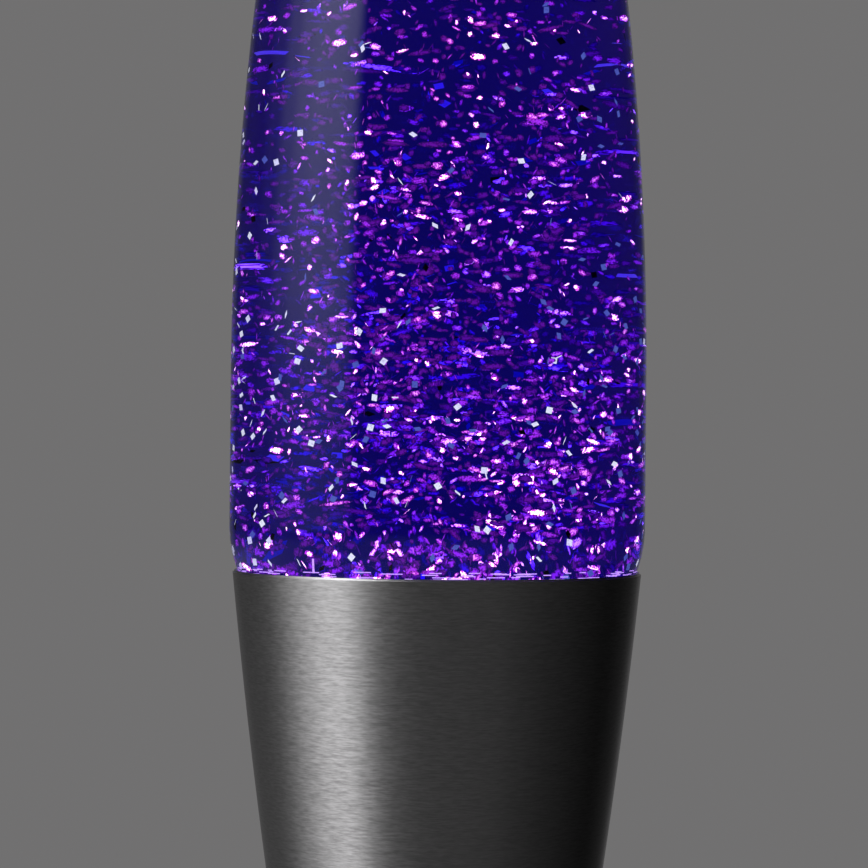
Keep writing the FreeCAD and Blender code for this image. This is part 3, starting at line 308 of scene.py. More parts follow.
class Board:
    """A node tree with short calls for adding and joining nodes."""

    def __init__(self, tree: bpy.types.NodeTree) -> None:
        """Keeps the tree that nodes are added to."""
        self.tree = tree

    def feed(self, node: bpy.types.Node, sockets: dict) -> None:
        """Fills a node's inputs.

        Args:
            node: the node.
            sockets: input name or number to a value, or to an output socket to join.
        """
        for key, value in sockets.items():
            socket = node.inputs[key]
            if isinstance(value, Socket):
                self.tree.links.new(value, socket)
            elif socket.type == "RGBA":
                socket.default_value = (*value, 1.0)
            else:
                socket.default_value = value

    def add(self, kind: str, sockets: dict | None = None, **settings) -> bpy.types.Node:
        """Adds a node.

        Args:
            kind: the node's type name.
            sockets: what feeds its inputs.
            settings: properties of the node.

        Returns:
            The new node.
        """
        node = self.tree.nodes.new(kind)
        for key, value in settings.items():
            setattr(node, key, value)
        self.feed(node, sockets or {})
        return node

    def place(self) -> Socket:
        """The shaded point in the piece's own coordinates, which are the lamp's."""
        return self.add("ShaderNodeTexCoord").outputs["Object"]

    def parts(self, vector) -> bpy.types.bpy_prop_collection:
        """The X, Y and Z outputs of a vector."""
        return self.add("ShaderNodeSeparateXYZ", {0: vector}).outputs

    def length(self, vector) -> Socket:
        """The length of a vector."""
        return self.add("ShaderNodeVectorMath", {0: vector}, operation="LENGTH").outputs["Value"]

    def noise(self, place, scale, detail: float, **more: float) -> Socket:
        """A level of noise at a place, with other inputs by name."""
        sockets = {"Vector": place, "Scale": scale, "Detail": detail, **more}
        return self.add("ShaderNodeTexNoise", sockets).outputs["Fac"]

    def bump(self, strength: float, distance: float, height) -> Socket:
        """The normal of a skin with that height."""
        sockets = {"Strength": strength, "Distance": distance, "Height": height}
        return self.add("ShaderNodeBump", sockets).outputs["Normal"]

    def math(self, operation: str, a, b=0.0) -> Socket:
        """The result of a Math node on two values or sockets."""
        return self.add("ShaderNodeMath", {0: a, 1: b}, operation=operation).outputs[0]

    def product(self, a, b) -> Socket:
        """Two values or sockets multiplied."""
        return self.math("MULTIPLY", a, b)

    def spread(self, value, low: float, high: float, to_low: float = 0.0, to_high: float = 1.0) -> Socket:
        """A value moved from one range to another, and kept inside it."""
        sockets = {"Value": value, "From Min": low, "From Max": high, "To Min": to_low, "To Max": to_high}
        return self.add("ShaderNodeMapRange", sockets).outputs["Result"]

    def ramp(self, value, stops: tuple) -> Socket:
        """A level read from (place, level) stops along a value from 0 to 1, eased between them."""
        node = self.add("ShaderNodeValToRGB", {"Fac": value})
        node.color_ramp.interpolation = "EASE"
        elements = node.color_ramp.elements
        while len(elements) < len(stops):
            elements.new(0.5)
        for element, (place, level) in zip(elements, stops):
            element.position = place
            element.color = (level, level, level, 1.0)
        return node.outputs["Color"]

    def mix(self, share, a, b) -> Socket:
        """A colour between two, by a share."""
        node = self.add("ShaderNodeMix", {"Factor": share}, data_type="RGBA")
        self.feed(node, {6: a, 7: b})
        return node.outputs[2]

    def group(self, tree: bpy.types.NodeTree, **values) -> bpy.types.bpy_prop_collection:
        """Places a node group, with inputs by name, and gives its outputs."""
        node = self.add("ShaderNodeGroup", node_tree=tree)
        self.feed(node, values)
        return node.outputs


class Effects:
    """Node groups that several finishes share, each built when it is first asked for."""

    @staticmethod
    def start(name: str, inputs: dict[str, float], outputs: tuple[str, ...]) -> tuple:
        """Makes an empty group.

        Args:
            name: the group's name.
            inputs: input name to its usual value.
            outputs: output names.

        Returns:
            The group's board, what its inputs give, and its output node.
        """
        tree = bpy.data.node_groups.new(name, "ShaderNodeTree")
        for key, value in inputs.items():
            socket = tree.interface.new_socket(name=key, in_out="INPUT", socket_type="NodeSocketFloat")
            socket.default_value = value
        for key in outputs:
            tree.interface.new_socket(name=key, in_out="OUTPUT", socket_type="NodeSocketFloat")
        board = Board(tree)
        return board, board.add("NodeGroupInput").outputs, board.add("NodeGroupOutput")

    @cached_property
    def brushing(self) -> bpy.types.NodeTree:
        """Fine lines laid round the axis.

        They are noise on (x s, y s, (z - r) n), so s sets their length and n how close they lie. A second
        layer, longer and wider, lies over the first.
        """
        usual = {"Lines": 3700.0, "Run": 420.0}
        board, given, result = self.start("brushing", usual, ("Height", "Streak", "Scuff"))
        place = board.place()
        parts = board.parts(place)
        flat = board.add("ShaderNodeCombineXYZ", {"X": parts["X"], "Y": parts["Y"]}).outputs[0]
        across = board.math("SUBTRACT", parts["Z"], board.length(flat))
        layers = []
        for closeness, shortness, weight in ((1.0, 1.0, 0.7), (0.4, 0.35, 0.3)):
            run = board.product(given["Run"], shortness)
            lines = board.product(given["Lines"], closeness)
            laid = board.add("ShaderNodeCombineXYZ", {
                "X": board.product(parts["X"], run),
                "Y": board.product(parts["Y"], run),
                "Z": board.product(across, lines),
            }).outputs[0]
            layers.append(board.product(board.noise(laid, 1.0, 2.0, Roughness=0.6), weight))
        both = board.math("ADD", *layers)
        board.feed(result, {
            "Height": both,
            "Streak": board.spread(both, 0.36, 0.64),
            "Scuff": board.spread(board.noise(place, 34.0, 3.0), 0.35, 0.68),
        })
        return board.tree

    @cached_property
    def grain(self) -> bpy.types.NodeTree:
        """Skin of a moulding: fine noise for its height, coarse noise for handling marks."""
        board, given, result = self.start("grain", {"Scale": 1800.0, "Patches": 60.0}, ("Height", "Marks"))
        place = board.place()
        coarse = board.noise(place, given["Patches"], 4.0, Distortion=0.6)
        board.feed(result, {
            "Height": board.noise(place, given["Scale"], 2.0),
            "Marks": board.spread(coarse, 0.38, 0.66),
        })
        return board.tree

    @cached_property
    def dust(self) -> bpy.types.NodeTree:
        """Dust on faces that look up: the normal's height times patchy noise."""
        board, given, result = self.start("dust", {"Amount": 0.3, "Patch": 90.0}, ("Mask",))
        up = board.parts(board.add("ShaderNodeNewGeometry").outputs["Normal"])["Z"]
        patchy = board.spread(board.noise(board.place(), given["Patch"], 5.0), 0.35, 0.7, 0.2)
        mask = board.product(board.product(board.spread(up, 0.2, 1.0), patchy), given["Amount"])
        board.feed(result, {"Mask": mask})
        return board.tree


EFFECTS = Effects()


def toned(colour: Colour, share: float) -> Colour:
    """A colour with each channel multiplied by a share."""
    return tuple(channel * share for channel in colour)


# ---------------------------------------------------------------- finishes

@dataclass(frozen=True)
class Finish:
    """A look that becomes one material: a Principled shader and what feeds it.

    Args:
        name: the material's name.
    """

    name: str

    def material(self) -> bpy.types.Material:
        """Builds the material. One that glows isn't sampled as a lamp."""
        made = bpy.data.materials.new(self.name)
        made.use_nodes = True
        nodes = made.node_tree.nodes
        board = Board(made.node_tree)
        shader = next(node for node in nodes if node.type == "BSDF_PRINCIPLED")
        output = next(node for node in nodes if node.type == "OUTPUT_MATERIAL")
        sockets = self.sockets(board)
        board.feed(shader, sockets)
        board.feed(output, self.ends(board, shader))
        if "Emission Color" in sockets:
            made.cycles.emission_sampling = "NONE"
        return made

    def sockets(self, board: Board) -> dict:
        """What feeds the shader, by input name. Each finish has its own."""
        return {}

    def ends(self, board: Board, shader: bpy.types.Node) -> dict:
        """What feeds the material's output besides the shader, by input name."""
        return {}


@dataclass(frozen=True)
class BrushedMetal(Finish):
    """Spun metal brushed round the lamp's axis.

    Args:
        colour: reflected colour.
        roughness: mean roughness, which the lines move by a twentieth either way.
        stretch: how much longer highlights are across the lines than along them.
        depth: height of the lines in metres.
        valley: share of the colour in the darkest lines.
        ridge: share of the colour in the brightest lines.
        wear: weight of duller patches.
    """

    colour: Colour
    roughness: float = 0.42
    stretch: float = 0.98
    depth: float = 0.000004
    valley: float = 0.78
    ridge: float = 1.2
    wear: float = 0.12

    def sockets(self, board: Board) -> dict:
        """What feeds the shader."""
        lines = board.group(EFFECTS.brushing)
        tone = board.mix(lines["Streak"], toned(self.colour, self.valley), toned(self.colour, self.ridge))
        worn = board.mix(board.product(lines["Scuff"], self.wear), tone, toned(self.colour, 0.8))
        around = board.add("ShaderNodeTangent", direction_type="RADIAL", axis="Z")
        return {
            "Base Color": worn,
            "Roughness": board.spread(lines["Streak"], 0, 1, self.roughness - 0.05, self.roughness + 0.05),
            "Normal": board.bump(0.5, self.depth, lines["Height"]),
            "Tangent": around.outputs["Tangent"],
            "Metallic": 1.0,
            "Anisotropic": self.stretch,
            "Anisotropic Rotation": 0.25,
        }


@dataclass(frozen=True)
class PlatedMetal(Finish):
    """Plated, drawn or raw metal of small fittings.

    Args:
        colour: reflected colour.
        stain: colour of the tarnish in patches.
        roughness: mean roughness.
        marks: size of the patches, per metre.
        tarnish: weight of the patches.
    """

    colour: Colour
    stain: Colour
    roughness: float = 0.3
    marks: float = 140.0
    tarnish: float = 0.55

    def sockets(self, board: Board) -> dict:
        """What feeds the shader."""
        skin = board.group(EFFECTS.grain, Scale=2600.0, Patches=self.marks)
        dust = board.group(EFFECTS.dust, Amount=0.12, Patch=150.0)
        tone = board.mix(board.product(skin["Marks"], self.tarnish), self.colour, self.stain)
        return {
            "Base Color": board.mix(dust["Mask"], tone, (0.4, 0.38, 0.36)),
            "Roughness": board.spread(skin["Marks"], 0, 1, self.roughness - 0.06, self.roughness + 0.14),
            "Normal": board.bump(0.25, 0.00001, skin["Height"]),
            "Metallic": 1.0,
        }


@dataclass(frozen=True)
class Moulding(Finish):
    """Plastic, rubber or porcelain with a fine skin.

    Args:
        colour: base colour.
        roughness: mean roughness.
        grain: fineness of the skin, per metre.
        depth: height of the skin in metres.
        dust: share of dust on faces that look up.
        coat: weight of a clear glaze.
    """

    colour: Colour
    roughness: float = 0.45
    grain: float = 1800.0
    depth: float = 0.00002
    dust: float = 0.15
    coat: float = 0.0

    def sockets(self, board: Board) -> dict:
        """What feeds the shader."""
        skin = board.group(EFFECTS.grain, Scale=self.grain, Patches=55.0)
        dust = board.group(EFFECTS.dust, Amount=self.dust, Patch=110.0)
        tone = board.mix(skin["Marks"], toned(self.colour, 0.9), toned(self.colour, 1.12))
        return {
            "Base Color": board.mix(dust["Mask"], tone, (0.42, 0.4, 0.38)),
            "Roughness": board.spread(skin["Marks"], 0, 1, self.roughness - 0.06, self.roughness + 0.08),
            "Normal": board.bump(0.35, self.depth, skin["Height"]),
            "Coat Weight": self.coat,
        }


@dataclass(frozen=True)
class ClearGlass(Finish):
    """Moulded glass with a faint ripple.

    Args:
        tint: colour that passes.
        ior: refractive index.
        roughness: surface haze.
        ripple: height of the ripple in metres.
    """

    tint: Colour = (1.0, 1.0, 1.0)
    ior: float = 1.5
    roughness: float = 0.0
    ripple: float = 0.00002

    def sockets(self, board: Board) -> dict:
        """What feeds the shader."""
        return {
            "Normal": board.bump(0.3, self.ripple, board.noise(board.place(), 45.0, 1.0)),
            "Base Color": self.tint,
            "Roughness": self.roughness,
            "IOR": self.ior,
            "Transmission Weight": 1.0,
        }


@dataclass(frozen=True)
class DyedLiquid(Finish):
    """Clear liquid with a dye that takes colour away along each ray. The wetted glass does the bending.

    Args:
        passed: colour of the dye.
        density: strength of the dye, per metre.
        ior: refractive index.
    """

    passed: Colour
    density: float
    ior: float = 1.001

    def sockets(self, board: Board) -> dict:
        """What feeds the shader."""
        return {"Roughness": 0.0, "IOR": self.ior, "Transmission Weight": 1.0}

    def ends(self, board: Board, shader: bpy.types.Node) -> dict:
        """The dye, as a volume."""
        dye = board.add("ShaderNodeVolumeAbsorption", {"Color": self.passed, "Density": self.density})
        return {"Volume": dye.outputs["Volume"]}


@dataclass(frozen=True)
class PaintedFlakeLight(Finish):
    """Metallised film, its light painted on as a glow in place of the bulb's and the studio's light that it
    throws about.

    Args:
        core: colour of the painted light from flakes near the axis, which the dye filters most.
        wall: colour of the painted light from flakes by the glass.
        strength: how bright that light is.
        fringe: share of the green that stays in the duller parts of a flake.
        frayed: True for a flake seen as a grainy blot that fades into the dye's painted light round its
            edge.
        heart: the glow at which a blot's brightest part starts. A lower one makes that part larger.
        body: colour of the film itself.
        veil_core: painted light of the lit dye in front of a flake near the axis.
        veil_wall: painted light of the lit dye in front of a flake by the glass.
        inner: distance from the axis up to which a flake has the core's colour.
        outer: distance from the axis from which it has the wall's.
        fineness: of the grain, per metre.
        heart_width: how much more glow it takes to be at full brightness.
        veil_end: the glow up to which only the dye shows.
        veil_start: the glow from which the dye is gone.
    """

    core: Colour
    wall: Colour
    strength: float
    fringe: float = 0.6
    frayed: bool = True
    heart: float = -0.12
    body: Colour = (0.03, 0.02, 0.05)
    veil_core: Colour = (0.03, 0.02, 0.118)
    veil_wall: Colour = (0.004, 0.0015, 0.105)
    inner: float = 12 * MM
    outer: float = 40 * MM
    fineness: float = 2900.0
    heart_width: float = 0.22
    veil_end: float = -0.5
    veil_start: float = -0.3

    def sockets(self, board: Board) -> dict:
        """What feeds the shader."""
        place = board.place()
        level = {0: place, 1: (1.0, 1.0, 0.0)}
        flat = board.add("ShaderNodeVectorMath", level, operation="MULTIPLY").outputs[0]
        outward = board.spread(board.length(flat), self.inner, self.outer)
        grain = board.spread(board.noise(place, self.fineness, 2.0), 0.34, 0.66)
        # Painted light: the emission stands in for light the flake would reflect, brighter in its lit parts
        # than in its duller ones.
        bright = board.mix(outward, self.core, self.wall)
        dull = board.mix(outward, self.dulled(self.core), self.dulled(self.wall))
        if self.frayed:
            chip = board.add("ShaderNodeAttribute", attribute_name="chip").outputs["Vector"]
            glow = board.math("SUBTRACT", grain, board.length(chip))
            veil = board.mix(outward, toned(self.veil_core, 1 / self.strength),
                             toned(self.veil_wall, 1 / self.strength))
            lit = board.mix(board.spread(glow, self.heart, self.heart + self.heart_width), dull, bright)
            light = board.mix(board.spread(glow, self.veil_end, self.veil_start), veil, lit)
        else:
            light = board.mix(board.spread(grain, 0.0, 0.5, 0.6), dull, bright)
        return {
            "Emission Color": light,
            "Emission Strength": self.strength,
            "Base Color": self.body,
            "Roughness": 0.5,
            "Specular IOR Level": 0.0,
        }

    def dulled(self, light: Colour) -> Colour:
        """The painted light of a flake's duller parts: less of it, and of its green least."""
        red, green, blue = light
        return red * 0.36, green * 0.26 * self.fringe, blue * 0.45


@dataclass(frozen=True)
class LitWire(Finish):
    """Wire that glows white-hot.

    Args:
        colour: colour of the surface when off.
        light: colour of its light.
        strength: how bright it is.
        roughness: surface roughness.
    """

    colour: Colour
    light: Colour
    strength: float
    roughness: float = 0.4

    def sockets(self, board: Board) -> dict:
        """What feeds the shader."""
        skin = board.group(EFFECTS.grain, Scale=2400.0, Patches=90.0)
        return {
            "Base Color": board.mix(skin["Marks"], self.colour, toned(self.colour, 0.88)),
            "Emission Color": board.mix(skin["Marks"], self.light, toned(self.light, 0.82)),
            "Normal": board.bump(0.2, 0.00002, skin["Height"]),
            "Emission Strength": self.strength,
            "Roughness": self.roughness,
        }


@dataclass(frozen=True)
class ReflectorGlass(Finish):
    """Bulb glass silvered up to a height and frosted over it, where the lit filament shows as a glow.

    Args:
        edge: height where the silvering ends.
        light: colour of the glow.
        strength: how bright it is.
        blend: half the height over which the silvering gives way.
    """

    edge: float
    light: Colour
    strength: float
    blend: float = 0.4 * MM

    def sockets(self, board: Board) -> dict:
        """What feeds the shader."""
        skin = board.group(EFFECTS.grain, Scale=2200.0, Patches=90.0)
        height = board.parts(board.place())["Z"]
        frosted = board.spread(height, self.edge - self.blend, self.edge + self.blend)
        silver = board.mix(skin["Marks"], (0.86, 0.85, 0.84), (0.74, 0.73, 0.71))
        glow = board.mix(board.product(skin["Marks"], 0.25), self.light, toned(self.light, 0.7))
        return {
            "Base Color": board.mix(frosted, silver, (0.82, 0.8, 0.76)),
            "Metallic": board.spread(frosted, 0, 1, 1.0, 0.0),
            "Roughness": board.spread(frosted, 0, 1, 0.12, 0.5),
            "Emission Color": board.mix(frosted, (0.0, 0.0, 0.0), glow),
            "Normal": board.bump(0.2, 0.00001, skin["Height"]),
            "Emission Strength": self.strength,
        }


@dataclass(frozen=True)
class FadingPaper(Finish):
    """Pale paper that clears with its distance from the lamp.

    Args:
        colour: base colour.
        fibre: colour of its fibres.
        start: distance at which it starts to clear.
        stop: distance at which it is gone.
    """

    colour: Colour
    fibre: Colour
    start: float = 0.3
    stop: float = 0.58

    def sockets(self, board: Board) -> dict:
        """What feeds the shader."""
        fibres = board.spread(board.noise(board.place(), 900.0, 3.0), 0.3, 0.7)
        return {"Base Color": board.mix(fibres, self.colour, self.fibre), "Roughness": 0.7}

    def ends(self, board: Board, shader: bpy.types.Node) -> dict:
        """The shader, mixed with clear."""
        gone = board.spread(board.length(board.place()), self.start, self.stop)
        clear = board.add("ShaderNodeBsdfTransparent").outputs[0]
        fade = board.add("ShaderNodeMixShader", {0: gone, 1: shader.outputs[0], 2: clear})
        return {"Surface": fade.outputs[0]}


class Metal(Enum):
    """Metals of the lamp, by where they are used."""

    SPUN = BrushedMetal("spun_metal", (0.50, 0.50, 0.505))
    ZINC = PlatedMetal("zinc_plate", (0.62, 0.62, 0.60), (0.5, 0.48, 0.4), 0.32)
    SCREW = PlatedMetal("screw_steel", (0.6, 0.6, 0.61), (0.42, 0.4, 0.38), 0.28, 260.0)
    BRASS = PlatedMetal("contact_brass", (0.78, 0.58, 0.27), (0.5, 0.3, 0.13), 0.26, 200.0)
    CAPSHELL = PlatedMetal("bulb_shell_metal", (0.72, 0.66, 0.5), (0.5, 0.42, 0.28), 0.25, 200.0)
    SOLDER = PlatedMetal("solder", (0.6, 0.6, 0.62), (0.4, 0.4, 0.41), 0.38, 500.0)
    CROWN = PlatedMetal("crown_tinplate", (0.66, 0.66, 0.65), (0.5, 0.48, 0.44), 0.24, 120.0)
    TUNGSTEN = LitWire("filament_tungsten", (0.2, 0.19, 0.18), (1.0, 0.62, 0.28), 12.0, 0.35)


class Moulded(Enum):
    """Plastics, rubbers and ceramics of the lamp, by where they are used."""

    HOLDER = Moulding("holder_plastic", (0.025, 0.025, 0.027), 0.35, 2200.0, 0.00001)
    CORE = Moulding("core_porcelain", (0.8, 0.78, 0.73), 0.35, 900.0, 0.00001, 0.2, 0.4)
    PLATE = Moulding("plate_plastic", (0.022, 0.022, 0.024), 0.55, 900.0, 0.00006, 0.1)
    RUBBER = Moulding("foot_rubber", (0.02, 0.02, 0.021), 0.75, 1500.0, 0.00005, 0.2)
    SEAT = Moulding("seat_silicone", (0.5, 0.5, 0.52), 0.5, 1600.0, 0.00002, 0.15)
    BLOCK = Moulding("block_nylon", (0.78, 0.77, 0.72), 0.4, 1400.0, 0.00002, 0.25)
    LIVE = Moulding("live_insulation", (0.13, 0.05, 0.02), 0.35, 1500.0, 0.00001, 0.05)
    NEUTRAL = Moulding("neutral_insulation", (0.02, 0.08, 0.32), 0.35, 1500.0, 0.00001, 0.05)
    CAPRING = Moulding("cap_ring_plastic", (0.03, 0.03, 0.032), 0.5, 1300.0, 0.00003, 0.1)
    LINER = Moulding("liner_plastic", (0.75, 0.75, 0.73), 0.45, 1300.0, 0.00002, 0.0)
    VITRITE = Moulding("bulb_vitrite", (0.012, 0.012, 0.014), 0.15, 900.0, 0.00001, 0.0, 0.5)


BUILT_FINISHES: dict[str, bpy.types.Material] = {}


def dress(piece: Piece, finish: Finish | Enum) -> None:
    """Gives an object one finish, built the first time it is used."""
    spec = finish.value if isinstance(finish, Enum) else finish
    if spec.name not in BUILT_FINISHES:
        BUILT_FINISHES[spec.name] = spec.material()
    piece.data.materials.clear()
    piece.data.materials.append(BUILT_FINISHES[spec.name])


def settle(piece: Piece, finish: Finish | Enum, body: str, slot: str, *nodes: str) -> Piece:
    """Dresses a new piece and ties it to the frame.

    Args:
        piece: the new object.
        finish: its finish.
        body: the body it rides on.
        slot: the record's material slot; not used.
        nodes: the CAD nodes that it stands for.

    Returns:
        The same object.
    """
    dress(piece, finish)
    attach(piece, body)
    if nodes:
        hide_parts(*nodes)
    LOG.info("%s: %d faces on %s", piece.name, len(piece.data.polygons), body)
    return piece


def keep(finish: Finish | Enum, *nodes: str) -> None:
    """Gives CAD nodes that stay a finish."""
    for node in nodes:
        dress(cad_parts[node], finish)
        LOG.info("%s: kept, with its own finish", node)


# ---------------------------------------------------------------- bottle

@dataclass
class Bottle:
    """Glass bottle, what fills it and its crown."""

    wall: float = 2.6 * MM
    floor: float = 5.0 * MM
    rim_z: float = 148.0 * MM
    heel_rise: float = 9.7 * MM
    heel_inset: float = 1.8 * MM
    belly_rise: float = 41.0 * MM
    cap_edge: float = 346.0 * MM
    shoulder_share: float = 0.62
    neck: float = 13.0 * MM
    neck_turn: float = math.radians(50)
    neck_fillet: float = 8.0 * MM
    neck_length: float = 5.0 * MM
    heel_round: float = 5.0 * MM
    push_up: float = 2.5 * MM
    push_share: float = 0.78
    headspace: float = 8.0 * MM
    wetting: float = 0.12 * MM
    collar_step: float = 1.4 * MM
    collar_tall: float = 5.0 * MM
    collar_round: float = 0.6 * MM
    collar_fillet: float = 0.5 * MM
    lip_rise: float = 11.0 * MM
    lip_step: float = 0.5 * MM
    lip_corner: float = 0.2 * MM
    lip_round: float = 1.0 * MM
    mouth_round: float = 0.8 * MM
    climb: float = 0.9 * MM
    climb_width: float = 2.5 * MM
    climb_bulge: float = 0.25 * MM
    film: float = 0.15 * MM
    shore_width: float = 1.6 * MM
    shore_drop: float = 0.7 * MM
    shore_round: float = 0.5 * MM
    level_drop: float = 0.8 * MM
    crown_sheet: float = 0.4 * MM
    crown_inset: float = 2.0 * MM
    crown_round: float = 1.3 * MM
    crown_hollow: float = 1.0 * MM
    crown_edge: float = 0.1 * MM
    crown_step: float = 0.5 * MM
    flute_depth: float = 0.4 * MM
    flute_start: float = 1.2 * MM
    flutes: int = 21
    flute_columns: int = 16
    glass_index: float = 1.5
    liquid_index: float = 1.34
    dye: Colour = (0.24, 0.0, 0.955)
    dye_density: float = 62.0
    glass_segments: int = 192
    segments: int = 160
    step: float = 2.2 * MM
    radius: float = field(init=False)
    bottom: float = field(init=False)
    top: float = field(init=False)

    def __post_init__(self) -> None:
        """Reads the glass's size from the frame and works out the arcs of its side."""
        low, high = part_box("glass_bottle")
        self.radius, self.bottom, self.top = high.x, low.z, high.z
        rise = self.cap_edge - self.rim_z - self.belly_rise
        drop = self.radius * (1 - self.shoulder_share)
        self.belly = (rise ** 2 + drop ** 2) / (2 * drop)
        self.belly_turn = math.asin(rise / self.belly)
        self.heel = (self.heel_rise ** 2 + self.heel_inset ** 2) / (2 * self.heel_inset)
        self.heel_turn = math.asin(self.heel_rise / self.heel)
        shoulder = self.radius * self.shoulder_share
        rest = shoulder - self.neck - self.neck_fillet * (1 - math.cos(self.neck_turn))
        self.shoulder = rest / (math.cos(self.belly_turn) - math.cos(self.neck_turn))
        self.belly_at = np.array([self.radius - self.belly, self.rim_z + self.belly_rise])
        self.heel_at = np.array([self.radius - self.heel, self.rim_z + self.heel_rise])
        self.shoulder_at = self.on(self.on(self.belly_at, self.belly, self.belly_turn), -self.shoulder,
                                   self.belly_turn)
        self.neck_at = self.on(self.on(self.shoulder_at, self.shoulder, self.neck_turn), self.neck_fillet,
                               self.neck_turn)

    @staticmethod
    def on(centre: np.ndarray, radius: float, angle: float) -> np.ndarray:
        """The point centre + radius (cos a, sin a)."""
        return centre + radius * np.array([math.cos(angle), math.sin(angle)])

    @staticmethod
    def sag(radius: float, turn: float) -> float:
        """How far an arc stands off its chord: radius (1 - cos(turn / 2))."""
        return radius * (1 - math.cos(turn / 2))

    def cone(self, inset: float, z: float) -> float:
        """Radius at a height of the straight stretch under the heel, moved inwards by inset."""
        joint = self.on(self.heel_at, self.heel - inset, -self.heel_turn)
        return joint[0] - (joint[1] - z) * math.tan(self.heel_turn)

    def side(self, inset: float) -> list[Knot]:
        """Corners from the heel's foot to the neck, moved inwards by inset."""
        low = self.on(self.heel_at, self.heel - inset, -self.heel_turn)
        belly = self.on(self.belly_at, self.belly - inset, self.belly_turn)
        shoulder = self.on(self.shoulder_at, self.shoulder - inset, self.neck_turn)
        neck = self.on(self.neck_at, -(self.neck_fillet + inset), 0.0)
        return [
            Knot(*low),
            Knot(self.radius - inset, self.heel_at[1], 0, self.sag(self.heel - inset, self.heel_turn)),
            Knot(self.radius - inset, self.belly_at[1]),
            Knot(*belly, 0, self.sag(self.belly - inset, self.belly_turn)),
            Knot(*shoulder, 0, self.sag(self.shoulder - inset, self.neck_turn - self.belly_turn)),
            Knot(*neck, 0, -self.sag(self.neck_fillet + inset, self.neck_turn)),
        ]

    def dome(self, radius: float) -> float:
        """Bulge of the hollow under the bottle, whose edge has that radius."""
        sphere = (radius ** 2 + self.push_up ** 2) / (2 * self.push_up)
        return self.sag(sphere, math.asin(radius / sphere))

    def glass(self) -> Piece:
        """The bottle's wall, turned from one loop that runs up outside and down inside."""
        foot = self.cone(0, self.bottom)
        hollow = foot * self.push_share
        floor = self.bottom + self.floor
        inner = self.cone(self.wall, floor)
        inner_hollow = inner * self.push_share
        collar = self.neck_at[1] + self.neck_length
        collar_top = collar + self.collar_tall
        ring = self.neck + self.collar_step
        lip = collar + self.lip_rise
        bead = self.neck + self.lip_step
        knots = [
            Knot(0, self.bottom + self.push_up),
            Knot(hollow, self.bottom, 0, -self.dome(hollow)),
            Knot(foot, self.bottom, self.heel_round),
            *self.side(0),
            Knot(self.neck, collar, self.collar_fillet),
            Knot(ring, collar, self.collar_round),
            Knot(ring, collar_top, self.collar_round),
            Knot(self.neck, collar_top, self.collar_fillet),
            Knot(self.neck, lip, self.lip_corner),
            Knot(bead, lip, self.lip_corner),
            Knot(bead, self.top, self.lip_round),
            Knot(self.neck - self.wall, self.top, self.mouth_round),
        ]
        inside = self.side(self.wall)[::-1]
        turned = [Knot(inside[0].r, inside[0].z)]
        turned += [Knot(here.r, here.z, 0, -before.bulge) for before, here in zip(inside, inside[1:])]
        knots += turned
        knots += [
            Knot(inner, floor, self.heel_round),
            Knot(inner_hollow, floor),
            Knot(0, floor + self.push_up, 0, self.dome(inner_hollow)),
        ]
        return lathe("bottle_glass", outline(knots, False, self.step), False, self.glass_segments)

    def wet(self, glass: Piece) -> None:
        """Gives the glass's faces that touch the liquid a finish of their own.

        Light crosses from glass to liquid there, so their index is the ratio of the two. They are the faces
        whose middle lies between the floor and the liquid's level and within the room for the liquid.

        Args:
            glass: the bottle's wall.
        """
        mesh = glass.data
        middles = np.empty(len(mesh.polygons) * 3)
        mesh.polygons.foreach_get("center", middles)
        middles = middles.reshape(-1, 3)
        reach, z = np.hypot(middles[:, 0], middles[:, 1]), middles[:, 2]
        level = self.cap_edge - self.headspace
        slack = self.wall / 4
        wetted = (z > self.bottom + self.floor - slack) & (z < level) & (reach < self.room(z) + slack)
        finish = ClearGlass("wetted_glass", ior=self.glass_index / self.liquid_index)
        mesh.materials.append(finish.material())
        mesh.polygons.foreach_set("material_index", wetted.astype(np.int32))

    def skin(self) -> Piece:
        """The liquid's upper surface, a thin plate that catches light and climbs a little at the glass."""
        level = self.cap_edge - self.headspace + self.wetting
        reach = float(self.room(np.array([level]))[0]) - self.wetting
        flat = reach - self.climb_width
        shore = level + self.climb
        knots = [
            Knot(0, level),
            Knot(flat, level),
            Knot(reach, shore, 0, self.climb_bulge),
            Knot(reach, shore + self.film),
            Knot(flat, level + self.film, 0, -self.climb_bulge),
            Knot(0, level + self.film),
        ]
        return lathe("liquid_meniscus", outline(knots, False, self.step), False, self.segments)

    def fill(self) -> Piece:
        """The liquid, a little past the glass's inner face so that no air shows between them."""
        inset = self.wall - self.wetting
        floor = self.bottom + self.floor - self.wetting
        level = self.cap_edge - self.headspace
        inner = self.cone(inset, floor)
        hollow = inner * self.push_share
        angle = math.asin((level - self.belly_at[1]) / (self.belly - inset))
        shore = self.on(self.belly_at, self.belly - inset, angle)
        knots = [
            Knot(0, floor + self.push_up),
            Knot(hollow, floor, 0, -self.dome(hollow)),
            Knot(inner, floor, self.heel_round),
            *self.side(inset)[:3],
            Knot(*shore, 0, self.sag(self.belly - inset, angle)),
            Knot(shore[0] - self.shore_width, level - self.shore_drop, self.shore_round),
            Knot(0, level - self.level_drop),
        ]
        return lathe("dyed_liquid", outline(knots, False, self.step), False, self.segments)

    def room(self, z: np.ndarray) -> np.ndarray:
        """Inner radius of the glass at each height between the floor and the liquid's surface."""
        belly = self.belly - self.wall
        up = np.clip(z - self.belly_at[1], 0, None)
        above = self.belly_at[0] + np.sqrt(belly ** 2 - up ** 2)
        heel = self.heel - self.wall
        down = np.clip(self.heel_at[1] - z, 0, heel * math.sin(self.heel_turn))
        bend = self.heel_at[0] + np.sqrt(heel ** 2 - down ** 2)
        foot = self.heel_at[1] - heel * math.sin(self.heel_turn)
        straight = self.on(self.heel_at, heel, -self.heel_turn)[0] - (foot - z) * math.tan(self.heel_turn)
        return np.where(z > self.heel_at[1], above, np.where(z > foot, bend, straight))

